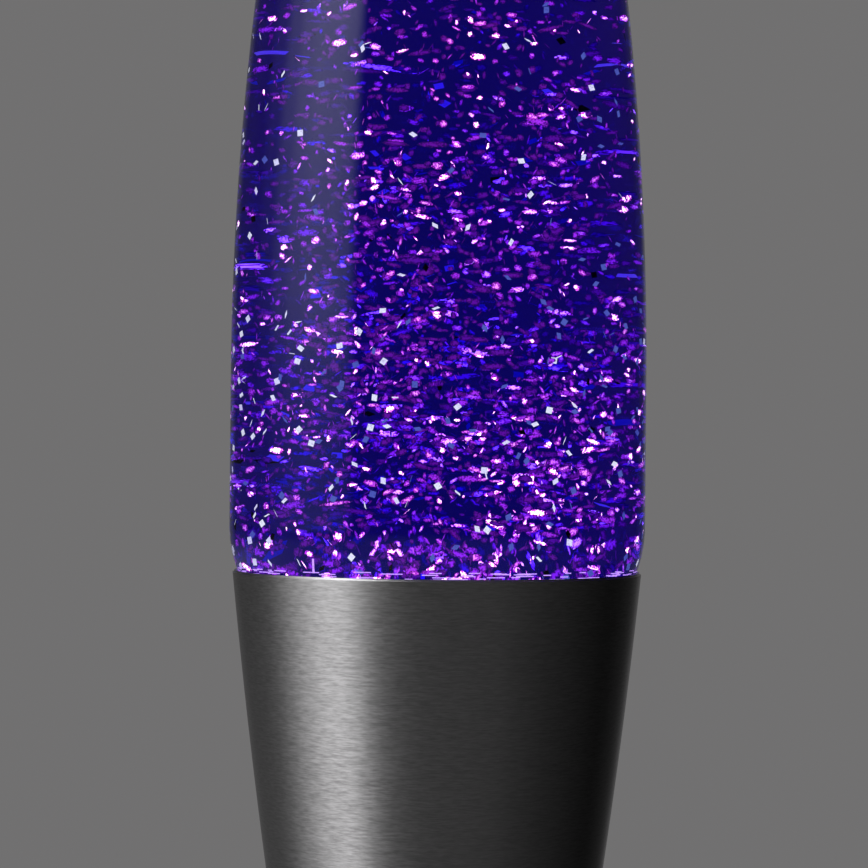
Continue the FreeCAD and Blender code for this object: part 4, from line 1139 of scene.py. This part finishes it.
    def crown(self) -> Piece:
        """Pressed crown: the skirt's radius waves by the cosine of its flutes, more towards its edge."""
        low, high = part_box("crown_closure")
        sheet = self.crown_sheet
        top = high.x - self.crown_inset
        skirt = high.x - self.flute_depth
        knots = [
            Knot(0, high.z),
            Knot(top, high.z, self.crown_round),
            Knot(skirt, low.z, self.crown_edge),
            Knot(skirt - sheet, low.z, self.crown_edge),
            Knot(top - sheet, high.z - sheet, self.crown_hollow),
            Knot(0, high.z - sheet),
        ]
        rows = outline(knots, False, self.crown_step)
        rings = rows[1:-1]
        columns = self.flutes * self.flute_columns
        angles = np.arange(columns) / columns * TURN
        start = high.z - self.flute_start
        depth = self.flute_depth * np.clip((start - rings[:, 1:]) / (start - low.z), 0, 1)
        radii = rings[:, :1] + depth * np.cos(self.flutes * angles)[None, :]
        return ring_solid("fluted_crown", rows, radii, False)

    def build(self) -> None:
        """Makes the glass, the liquid and the crown."""
        clear = ClearGlass("bottle_glass", ior=self.glass_index)
        dye = DyedLiquid("dyed_liquid", self.dye, self.dye_density)
        surface = ClearGlass("liquid_skin", ior=self.liquid_index)
        glass = settle(self.glass(), clear, "bottle", "bottle_glass", "glass_bottle")
        self.wet(glass)
        settle(self.fill(), dye, "bottle", "dyed_liquid", "liquid")
        settle(self.skin(), surface, "bottle", "dyed_liquid", "liquid")
        settle(self.crown(), Metal.CROWN, "bottle", "crown_metal", "crown_closure")
        keep(Moulded.LINER, "closure_liner")


class Sparkle(Enum):
    """Kinds of flake, by the painted light that each glows with in place of the light it would catch."""

    # Silver: a painted reflection of the studio's light. Blue: painted blue light.
    SILVER = PaintedFlakeLight("flake_silver", (0.82, 0.86, 1.0), (0.82, 0.88, 1.0), 1.2, 1.0, False)
    BLUE = PaintedFlakeLight("flake_blue", (0.15, 0.21, 0.95), (0.16, 0.23, 0.95), 0.6, 0.9, False)
    # Dark: painted shade, unlit flakes with a dark body and a faint glow.
    DARK = PaintedFlakeLight("flake_dark", (0.01, 0.0, 0.03), (0.0, 0.0, 0.01), 0.2, 1.0, False,
                     body=(0.004, 0.003, 0.01))
    # Dim to hot: painted light of the bulb through the dye, brighter from kind to kind.
    DIM = PaintedFlakeLight("flake_dim", (0.95, 0.06, 0.85), (0.23, 0.013, 0.85), 0.5)
    VIOLET = PaintedFlakeLight("flake_violet", (0.95, 0.09, 0.85), (0.3, 0.026, 0.7), 1.5)
    MAGENTA = PaintedFlakeLight("flake_magenta", (1.0, 0.3, 0.52), (0.35, 0.13, 0.44), 4.2, 0.25, True, 0.06)
    HOT = PaintedFlakeLight("flake_hot", (1.0, 0.8, 0.36), (0.4, 0.32, 0.36), 11.0, 0.06)
    # Glint: painted glints of light along the glass over the cup's rim.
    GLINT = PaintedFlakeLight("flake_glint", (0.7, 0.5, 1.0), (0.5, 0.28, 1.0), 1.7, 0.5, False)


TRIES = 12
SQUARE = np.array([[-1, -1], [1, -1], [1, 1], [-1, 1]])
CHIP = np.array([[-1, -0.35], [-0.2, -1], [0.75, -0.8], [1, 0.2], [0.55, 1], [-0.7, 0.75]])


@dataclass
class Glitter:
    """Flakes that drift in the liquid, each glowing with painted light: crisp squares by the glass, and
    blots drawn wide deeper in.

    The ranges of chance lengths and heights, given as pairs, are in millimetres.
    """

    bottle: Bottle
    count: int = 8200
    side: float = 1.3 * MM
    thickness: float = 0.05 * MM
    margin: float = 1.0 * MM
    near_wall: float = 4.0 * MM
    shown_share: float = 0.66
    silver_share: float = 0.14
    silver_lit: float = 0.34
    pale_share: float = 0.56
    dim_below: float = 0.5
    violet_below: float = 0.76
    magenta_below: float = 0.88
    sparse: float = 0.04
    thinning: float = 1.15
    clear_share: float = 0.3
    waves: int = 16
    wave_gain: float = 1.7
    gloom: float = 1.1
    cloud_gain: float = 0.75
    climb_loss: float = 1.5
    dash_rise: float = 0.16
    dash_lean: float = 0.5
    dash_long: float = 0.8 * MM
    dash_variety: float = 0.55
    dash_half_heights: tuple[float, float] = (0.3, 0.8)
    glints: int = 220
    upright_share: float = 0.03
    glint_inset: float = 0.45 * MM
    upright_rises: tuple[float, float] = (0.5, 5.0)
    level_rises: tuple[float, float] = (-0.5, 1.6)
    upright_half_lengths: tuple[float, float] = (0.9, 2.2)
    level_half_lengths: tuple[float, float] = (0.6, 2.2)
    upright_half_width: float = 0.25
    level_half_width: float = 0.1
    seed: int = 11

    def places(self, dice: Dice) -> np.ndarray:
        """Points spread through the liquid, thinner towards the top and outside the clouds.

        A height is kept with a chance that falls with height, and a radius is the root of an even share.

        Args:
            dice: the seeded source of chance.

        Returns:
            An array of x, y, z and cloud rows.
        """
        low = self.bottle.bottom + self.bottle.floor + self.bottle.push_up + self.margin
        high = self.bottle.cap_edge - self.bottle.headspace - 2 * self.margin
        tries = dice.random((self.count * TRIES, 5))
        z = low + (high - low) * tries[:, 0]
        room = self.bottle.room(z) - self.margin
        reach = room * np.sqrt(tries[:, 2])
        turn = tries[:, 3] * TURN
        points = np.stack([reach * np.cos(turn), reach * np.sin(turn), z], axis=1)
        cloud = self.clouds(points, dice)
        widest = self.bottle.radius - self.bottle.wall
        settled = self.sparse + (1.0 - self.sparse) * (1.0 - tries[:, 0]) ** self.thinning
        gathered = self.clear_share + (1.0 - self.clear_share) * cloud
        chance = (room / widest) ** 2 * settled * gathered
        kept = np.flatnonzero(tries[:, 1] < chance)[: self.count]
        return np.column_stack([points[kept], cloud[kept]])

    def clouds(self, points: np.ndarray, dice: Dice) -> np.ndarray:
        """Slow waves from 0 to 1 through the liquid: the mean of sines that run in chance directions."""
        ways = dice.normal(size=(self.waves, 3)) * np.array([1.0, 1.0, 1.7])
        lengths = dice.uniform(14 * MM, 48 * MM, self.waves)
        ways *= (TURN / lengths / np.linalg.norm(ways, axis=1))[:, None]
        waves = np.sin(points @ ways.T + dice.uniform(0, TURN, self.waves))
        return np.clip(0.5 + waves.mean(axis=1) * self.wave_gain, 0, 1)

    def sort(self, rows: np.ndarray, dice: Dice) -> dict[Sparkle, np.ndarray]:
        """Shares the flakes out among the kinds.

        A flake by the wall may be seen crisp, and then it is silver more often on the side that the studio
        lights. Elsewhere chance, the clouds and the height over the bulb set how bright it is.

        Args:
            rows: the flakes' places and clouds.
            dice: the seeded source of chance.

        Returns:
            Kind to the numbers of its flakes.
        """
        reach = np.hypot(rows[:, 0], rows[:, 1])
        depth = self.bottle.room(rows[:, 2]) - reach
        climb = (rows[:, 2] - self.bottle.bottom) / (self.bottle.cap_edge - self.bottle.bottom)
        luck = dice.random(len(rows))
        # Painted light: silver flakes, which glow with a painted reflection, gather on the side that the
        # studio lights.
        lit_side = 0.5 - 0.5 * rows[:, 0] / reach
        shown = (depth < self.near_wall) & (luck < self.shown_share)
        # How bright the painted glow is: brighter in the clouds, dimmer higher up, further from the bulb.
        power = self.gloom - self.cloud_gain * rows[:, 3] + self.climb_loss * climb
        bright = dice.random(len(rows)) ** power
        tests = [
            shown & (luck < self.silver_share + self.silver_lit * lit_side),
            shown & (luck < self.pale_share),
            shown,
            bright < self.dim_below,
            bright < self.violet_below,
            bright < self.magenta_below,
        ]
        kinds = np.select(tests, list(range(len(tests))), len(tests))
        return {kind: np.flatnonzero(kinds == number) for number, kind in enumerate(Sparkle)}

    def squares(self, name: str, points: np.ndarray, dice: Dice) -> Piece:
        """Thin squares at the points, each turned by a chance rotation.

        Their axes are two chance directions made square to each other and their cross product.

        Args:
            name: the piece's name.
            points: the flakes' places.
            dice: the seeded source of chance.

        Returns:
            The flakes as one object.
        """
        u = dice.normal(size=points.shape)
        u /= np.linalg.norm(u, axis=1)[:, None]
        v = dice.normal(size=points.shape)
        v -= u * np.einsum("ij,ij->i", u, v)[:, None]
        v /= np.linalg.norm(v, axis=1)[:, None]
        half = self.side / 2
        return self.plates(name, points, SQUARE, u * half, v * half, self.thickness)

    def dashes(self, name: str, points: np.ndarray, dice: Dice) -> Piece:
        """Thin uneven hexagons that lie nearly level, in chance directions and lengths.

        Args:
            name: the piece's name.
            points: the flakes' places.
            dice: the seeded source of chance.

        Returns:
            The flakes as one object.
        """
        turn = dice.uniform(0, TURN, len(points))
        rise = dice.normal(0, self.dash_rise, len(points))
        u = np.stack([np.cos(turn), np.sin(turn), rise], axis=1)
        lean = dice.normal(0, self.dash_lean, len(points))
        v = np.stack([-np.sin(turn) * lean, np.cos(turn) * lean, np.ones(len(points))], axis=1)
        long = dice.lognormal(0.0, self.dash_variety, len(points))[:, None] * self.dash_long
        tall = dice.uniform(*self.dash_half_heights, len(points))[:, None] * MM
        return self.plates(name, points, CHIP, u * long, v * tall, self.thickness)

    @staticmethod
    def plates(name: str, points: np.ndarray, corners: np.ndarray, u: np.ndarray, v: np.ndarray,
               thickness: float) -> Piece:
        """Flat plates. Corner (a, b) of the outline goes to point + a u + b v.

        The attribute "chip" keeps (a, b) at every corner, so that a material knows how far in from the edge
        it is.

        Args:
            name: the piece's name.
            points: the plates' middles.
            corners: the outline, counter-clockwise, in shares of u and v.
            u: half length of each plate.
            v: half height of each plate.
            thickness: of every plate.

        Returns:
            The plates as one object.
        """
        w = np.cross(u, v)
        w *= thickness / 2 / np.linalg.norm(w, axis=1)[:, None]
        a, b = corners[None, :, :1], corners[None, :, 1:]
        flat = points[:, None, :] + a * u[:, None, :] + b * v[:, None, :]
        both = np.concatenate([flat - w[:, None, :], flat + w[:, None, :]], axis=1)
        n = len(corners)
        faces = [list(range(n))[::-1], list(range(n, 2 * n))]
        faces += [[k, (k + 1) % n, n + (k + 1) % n, n + k] for k in range(n)]
        starts = range(0, len(points) * 2 * n, 2 * n)
        every = [[start + k for k in face] for start in starts for face in faces]
        made = new_piece(name, both.reshape(-1, 3), every, smooth=False)
        chip = np.zeros((len(points) * 2 * n, 3))
        chip[:, :2] = np.tile(corners, (len(points) * 2, 1))
        made.data.attributes.new("chip", "FLOAT_VECTOR", "POINT").data.foreach_set("vector", chip.ravel())
        return made

    def rim_glints(self, dice: Dice) -> Piece:
        """Painted glints of light along the glass just over the cup's rim: glowing flakes against the
        glass, some flat and some on edge.

        Args:
            dice: the seeded source of chance.

        Returns:
            The flakes as one object.
        """
        turn = dice.uniform(0, TURN, self.glints)
        upright = dice.random(self.glints) < self.upright_share
        rise = np.where(upright, dice.uniform(*self.upright_rises, self.glints),
                        dice.uniform(*self.level_rises, self.glints))
        z = self.bottle.rim_z + rise * MM
        reach = self.bottle.room(z) - self.glint_inset
        points = np.stack([reach * np.cos(turn), reach * np.sin(turn), z], axis=1)
        around = np.stack([-np.sin(turn), np.cos(turn), np.zeros(self.glints)], axis=1)
        up = np.zeros((self.glints, 3))
        up[:, 2] = 1
        long = np.where(upright, dice.uniform(*self.upright_half_lengths, self.glints),
                        dice.uniform(*self.level_half_lengths, self.glints)) * MM
        thin = np.where(upright, self.upright_half_width, self.level_half_width) * MM
        u = np.where(upright[:, None], up, around) * long[:, None]
        v = np.where(upright[:, None], -around, up) * thin[:, None]
        return self.plates("glitter_rim_glints", points, SQUARE, u, v, self.thickness)

    def build(self) -> None:
        """Makes one piece for each kind of flake."""
        dice = np.random.default_rng(self.seed)
        rows = self.places(dice)
        small = (Sparkle.SILVER, Sparkle.BLUE, Sparkle.DARK)
        for kind, numbers in self.sort(rows, dice).items():
            if kind is Sparkle.GLINT:
                continue
            shape = self.squares if kind in small else self.dashes
            flakes = shape(f"glitter_{kind.name.lower()}", rows[numbers, :3], dice)
            settle(flakes, kind, "bottle", "glitter_film", "glitter")
        settle(self.rim_glints(dice), Sparkle.GLINT, "bottle", "glitter_film", "glitter")


# ---------------------------------------------------------------- spun shells

@dataclass
class SpunShells:
    """Brushed cup, foot and cap, each spun from one sheet with a rolled edge."""

    waist: float = 32.6 * MM
    foot_radius: float = 55.0 * MM
    cap_taper: float = 8.9 * MM
    cap_height: float = 60.0 * MM
    sheet: float = 0.8 * MM
    bulge: float = 0.65 * MM
    flange: float = 24.0 * MM
    hem: float = 10.0 * MM
    bead: float = 0.35 * MM
    waist_round: float = 0.6 * MM
    waist_hollow: float = 0.4 * MM
    foot_hollow: float = 0.3 * MM
    hem_round: float = 0.5 * MM
    cap_round: float = 4.0 * MM
    segments: int = 192
    step: float = 1.8 * MM

    def cup(self) -> Piece:
        """Upper half of the hourglass, a closed loop of two bulged walls with a flange."""
        low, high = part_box("base_cup")
        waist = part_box("base_foot")[1].z
        wide = high.x
        wall = self.sheet / math.cos(math.atan2(wide - self.waist, high.z - waist))
        knots = [
            Knot(self.flange, low.z),
            Knot(self.waist, low.z, self.waist_round),
            Knot(wide, high.z, self.bead, self.bulge),
            Knot(wide - wall, high.z, self.bead),
            Knot(self.waist - wall, low.z + self.sheet, self.waist_hollow, -self.bulge),
            Knot(self.flange, low.z + self.sheet),
        ]
        return lathe("spun_cup", outline(knots, True, self.step), True, self.segments)

    def foot(self) -> Piece:
        """Lower half of the hourglass, with a flange above and a hem turned in below."""
        low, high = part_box("base_foot")
        wide = self.foot_radius
        wall = self.sheet / math.cos(math.atan2(wide - self.waist, high.z - low.z))
        under, over = high.z - self.sheet, low.z + self.sheet
        knots = [
            Knot(self.flange, under),
            Knot(self.waist - wall, under, self.foot_hollow),
            Knot(wide - wall, over, self.foot_hollow, -self.bulge),
            Knot(wide - self.hem, over),
            Knot(wide - self.hem, low.z),
            Knot(wide, low.z, self.hem_round),
            Knot(self.waist, high.z, self.waist_round, self.bulge),
            Knot(self.flange, high.z),
        ]
        return lathe("spun_foot", outline(knots, True, self.step), True, self.segments)

    def cap(self) -> Piece:
        """Cone with a rounded top, closed on the axis outside and inside."""
        low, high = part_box("top_cap")
        wide = high.x
        narrow = wide - self.cap_taper
        wall = self.sheet / math.cos(math.atan2(self.cap_taper, self.cap_height))
        under = high.z - self.sheet
        inner = narrow + self.cap_taper * self.sheet / (high.z - low.z) - wall
        knots = [
            Knot(0, high.z),
            Knot(narrow, high.z, self.cap_round),
            Knot(wide, low.z, self.bead),
            Knot(wide - wall, low.z, self.bead),
            Knot(inner, under, self.cap_round - self.sheet),
            Knot(0, under),
        ]
        return lathe("spun_cap", outline(knots, False, self.step), False, self.segments)

    def build(self) -> None:
        """Makes the three shells and dresses what is fixed in the cap."""
        settle(self.cup(), Metal.SPUN, "base", "base_metal", "base_cup")
        settle(self.foot(), Metal.SPUN, "base", "base_metal", "base_foot")
        settle(self.cap(), Metal.SPUN, "cap", "cap_metal", "top_cap")
        keep(Moulded.CAPRING, "cap_ring")
        keep(Moulded.SEAT, "bottle_seat_ring")


# ---------------------------------------------------------------- bulb

@dataclass
class Bulb:
    """Reflector bulb: silvered glass, screw shell, insulator and contact."""

    pitch: float = 2.82 * MM
    crest: float = 6.9 * MM
    depth: float = 0.45 * MM
    thread_top: float = 55.7 * MM
    sheet: float = 0.3 * MM
    skirt: float = 1.2 * MM
    skirt_round: float = 0.8 * MM
    skirt_hollow: float = 0.6 * MM
    edge_round: float = 0.1 * MM
    step: float = 0.3 * MM
    silver_share: float = 0.66
    wire: float = 0.12 * MM
    winding: float = 0.45 * MM
    windings: int = 26
    wire_points: int = 700
    droop: float = 0.35
    segments: int = 96

    def shell(self) -> Piece:
        """Pressed screw shell with a flared skirt.

        In the thread the radius falls from the crest by depth (1 - cos(TURN z / pitch - a)) / 2 at angle a,
        and the thread fades out over its last turn at both ends.

        Returns:
            The shell.
        """
        low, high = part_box("bulb_screw_shell")
        flare = high.x
        bend = high.z - self.skirt
        knots = [
            Knot(self.crest, low.z),
            Knot(self.crest, self.thread_top),
            Knot(flare, bend, self.skirt_round),
            Knot(flare, high.z, self.edge_round),
            Knot(flare - self.sheet, high.z, self.edge_round),
            Knot(flare - self.sheet, bend, self.skirt_hollow),
            Knot(self.crest - self.sheet, self.thread_top),
            Knot(self.crest - self.sheet, low.z),
        ]
        rows = outline(knots, True, self.step)
        z = rows[:, 1:]
        angles = np.arange(self.segments)[None, :] / self.segments * TURN
        fade = np.clip((z - low.z) / self.pitch, 0, 1) * np.clip((self.thread_top - z) / self.pitch, 0, 1)
        radii = rows[:, :1] - self.depth * fade * (1 - np.cos(TURN * z / self.pitch - angles)) / 2
        return ring_solid("bulb_thread_shell", rows, radii, True)

    def coil(self) -> Piece:
        """Filament: a wire wound round a low arch across the bulb, x = half cos t, its ends drooping."""
        low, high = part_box("bulb_filament")
        reach = self.winding + 2 * self.wire
        middle = (low + high) / 2
        t = np.linspace(0, 1, self.wire_points)
        half = (high.x - low.x) / 2 - reach
        turns = TURN * self.windings * t
        x = middle.x + half * np.cos(math.pi * (1 - t))
        y = middle.y + self.winding * np.cos(turns)
        top = high.z - reach
        fall = (top - low.z - self.winding) * self.droop * (2 * t - 1) ** 4
        z = top - fall + self.winding * np.sin(turns)
        return tube("bulb_filament_coil", np.stack([x, y, z], axis=1), self.wire, 6)

    def build(self) -> None:
        """Makes the shell and the coil, and dresses what stays."""
        low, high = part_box("bulb_glass")
        edge = low.z + (high.z - low.z) * self.silver_share
        settle(self.shell(), Metal.CAPSHELL, "bulb", "shell_metal", "bulb_screw_shell")
        settle(self.coil(), Metal.TUNGSTEN, "bulb", "filament_wire", "bulb_filament")
        keep(ReflectorGlass("bulb_reflector_glass", edge, (1.0, 0.82, 0.56), 2.2), "bulb_glass")
        keep(ClearGlass("stem_flare_glass", (0.92, 0.95, 0.94), 1.5, 0.05), "bulb_stem")
        keep(Moulded.VITRITE, "bulb_insulator")
        keep(Metal.SOLDER, "bulb_contact")


# ---------------------------------------------------------------- lampholder, wiring and foot

def dress_fittings() -> None:
    """Gives the fittings inside and under the base their finishes."""
    keep(Metal.ZINC, "holder_bracket", "threaded_nipple")
    keep(Metal.SCREW, "nipple_nut", "nipple_lock_washer", "waist_screws", "waist_nuts", "contact_rivet",
         "terminal_screws", "block_screw", "plate_screws")
    keep(Metal.BRASS, "holder_screw_sleeve", "holder_centre_contact", "terminal_sleeves")
    keep(Moulded.HOLDER, "holder_base", "holder_shell")
    keep(Moulded.CORE, "holder_core")
    keep(Moulded.LIVE, "wire_live")
    keep(Moulded.NEUTRAL, "wire_neutral")
    keep(Moulded.BLOCK, "terminal_block")
    keep(Moulded.PLATE, "base_plate")
    keep(Moulded.RUBBER, "rubber_pads", "cord_inlet_bush")


# ---------------------------------------------------------------- studio

@dataclass(frozen=True)
class Softbox:
    """A soft lamp that faces the lamp's middle and that only lights: neither eye nor reflection shows it.

    Args:
        name: the lamp's name.
        angle: degrees round from the front, to the left.
        distance: from the axis.
        size: width and height.
        height: of its middle over the table.
        power: brightness.
    """

    name: str
    angle: float
    distance: float
    size: tuple[float, float]
    height: float
    power: float

    def build(self) -> None:
        """Places the lamp."""
        data = bpy.data.lights.new(self.name, "AREA")
        data.shape = "RECTANGLE"
        data.size, data.size_y = self.size
        data.energy = self.power
        lamp = linked(self.name, data)
        angle = math.radians(self.angle)
        left, front = self.distance * math.sin(angle), self.distance * math.cos(angle)
        lamp.location = (-left, -front, self.height)
        aim = Vector((0.0, 0.0, AIM_HEIGHT)) - lamp.location
        lamp.rotation_euler = aim.to_track_quat("-Z", "Z").to_euler()
        lamp.visible_camera = False
        lamp.visible_transmission = False
        lamp.visible_glossy = False


@dataclass
class Studio:
    """Floor, light and camera.

    The room that reflections show is given by stops: a level at an angle in degrees to the left of the
    front, and a share of that level by the sine of the climb.
    """

    grey: float = 0.165
    floor_hole: float = 0.02
    floor_reach: float = 1.0
    floor_rings: int = 24
    floor_columns: int = 96
    eye: tuple[float, float, float] = (-0.87 * MM, -705.6 * MM, 177.65 * MM)
    roll: float = math.radians(0.5)
    lens: float = 135.0
    sensor: float = 36.0
    bounces: int = 14
    behind: Stops = (
        (-180, 0.165), (-166, 0.12), (-152, 0.02), (-140, 0.0), (148, 0.0), (160, 0.06), (180, 0.165))
    walls: Stops = (
        (-180, 0.06), (-140, 0.03), (-122, 0.01), (-100, 0.028), (-78, 0.045), (-55, 0.07),
        (-38, 0.1), (0, 0.11), (28, 0.14), (100, 0.16), (145, 0.16), (180, 0.06))
    wall_heights: Stops = ((-1.0, 1.0), (-0.22, 1.0), (-0.06, 0.12), (0.3, 0.12), (0.5, 1.0), (1.0, 1.0))
    box: Stops = (
        (45, 0.0), (54, 0.8), (61, 1.0), (75, 1.0), (87, 0.75), (97, 0.4), (110, 0.08), (125, 0.0))
    box_heights: Stops = (
        (-0.12, 0.0), (-0.02, 0.04), (0.09, 0.15), (0.26, 0.24), (0.38, 0.4), (0.6, 1.0), (0.9, 1.0),
        (1.0, 0.6))
    box_level: float = 5.9
    softboxes: tuple[Softbox, ...] = (
        Softbox("key_softbox", 64, 1.0, (0.62, 0.9), 0.58, 8.0),
        Softbox("top_softbox", 20, 0.6, (0.8, 0.8), 1.3, 9.0),
        Softbox("rim_softbox", 205, 1.1, (0.5, 0.8), 0.6, 4.0),
    )

    @staticmethod
    def by_angle(stops: Stops) -> Stops:
        """Stops in degrees to the left of the front, as shares of a turn."""
        return tuple((0.5 + angle / 360, level) for angle, level in stops)

    @staticmethod
    def by_height(stops: Stops) -> Stops:
        """Stops by the sine of the climb, from -1 to 1, as shares from 0 to 1."""
        return tuple((0.5 + climb / 2, level) for climb, level in stops)

    def floor(self) -> None:
        """A pale disc that fades into the backdrop's grey."""
        rings, columns = self.floor_rings, self.floor_columns
        radii = np.repeat(np.linspace(self.floor_hole, self.floor_reach, rings)[:, None], columns, axis=1)
        points = turned_grid(radii, np.zeros_like(radii))
        quads = grid_faces(rings, columns, False).tolist()
        centre = len(points)
        fan = [[centre, k, (k + 1) % columns] for k in range(columns)]
        disc = new_piece("studio_floor", np.concatenate([points, [[0, 0, 0]]]), quads + fan)
        dress(disc, FadingPaper("floor_paper", (0.5, 0.5, 0.505), (0.56, 0.56, 0.56)))
        disc.visible_glossy = False

    def world(self) -> None:
        """Plain grey to the eye, and to reflections a soft room that is lighter at the front left."""
        world = bpy.data.worlds.new("studio_grey")
        bpy.context.scene.world = world
        world.use_nodes = True
        board = Board(world.node_tree)
        board.tree.nodes.clear()
        way = board.add("ShaderNodeTexCoord").outputs["Generated"]
        parts = board.parts(way)
        angle = board.math("ARCTAN2", board.product(parts["X"], -1.0), board.product(parts["Y"], -1.0))
        turned = board.spread(angle, -math.pi, math.pi)
        climb = board.spread(parts["Z"], -1.0, 1.0)
        behind = board.ramp(turned, self.by_angle(self.behind))
        walls = board.product(board.ramp(turned, self.by_angle(self.walls)),
                              board.ramp(climb, self.by_height(self.wall_heights)))
        box = board.product(board.ramp(turned, self.by_angle(self.box)),
                            board.ramp(climb, self.by_height(self.box_heights)))
        room = board.math("ADD", board.math("ADD", behind, walls), board.product(box, self.box_level))
        seen = board.add("ShaderNodeLightPath").outputs
        plain = board.math("MAXIMUM", seen["Is Camera Ray"], seen["Is Transmission Ray"])
        reflected = board.product(board.math("SUBTRACT", 1.0, plain), room)
        level = board.math("ADD", board.product(plain, self.grey), reflected)
        back = board.add("ShaderNodeBackground", {"Color": (1.0, 0.985, 0.99), "Strength": level})
        board.feed(board.add("ShaderNodeOutputWorld"), {"Surface": back.outputs[0]})

    def camera(self) -> None:
        """A long lens, level with the bottle's lower part, turned a little about its own line of sight."""
        data = bpy.data.cameras.new("studio_camera")
        data.lens = self.lens
        data.sensor_width = self.sensor
        data.clip_start = 0.01
        eye = linked("studio_camera", data)
        eye.location = self.eye
        eye.rotation_euler = (math.pi / 2, 0.0, 0.0)
        eye.rotation_euler.rotate_axis("Z", self.roll)
        bpy.context.scene.camera = eye

    def build(self) -> None:
        """Sets the whole studio up."""
        self.floor()
        self.world()
        for softbox in self.softboxes:
            softbox.build()
        self.camera()
        scene = bpy.context.scene
        scene.view_settings.view_transform = "Standard"
        scene.cycles.caustics_reflective = False
        scene.cycles.caustics_refractive = False
        scene.cycles.max_bounces = self.bounces
        scene.cycles.transmission_bounces = self.bounces


def main() -> None:
    """Builds every sub-assembly in order."""
    logging.basicConfig(level=logging.INFO, format="%(message)s")
    Studio().build()
    bottle = Bottle()
    bottle.build()
    Glitter(bottle).build()
    SpunShells().build()
    Bulb().build()
    dress_fittings()


if __name__ == "__main__":
    main()
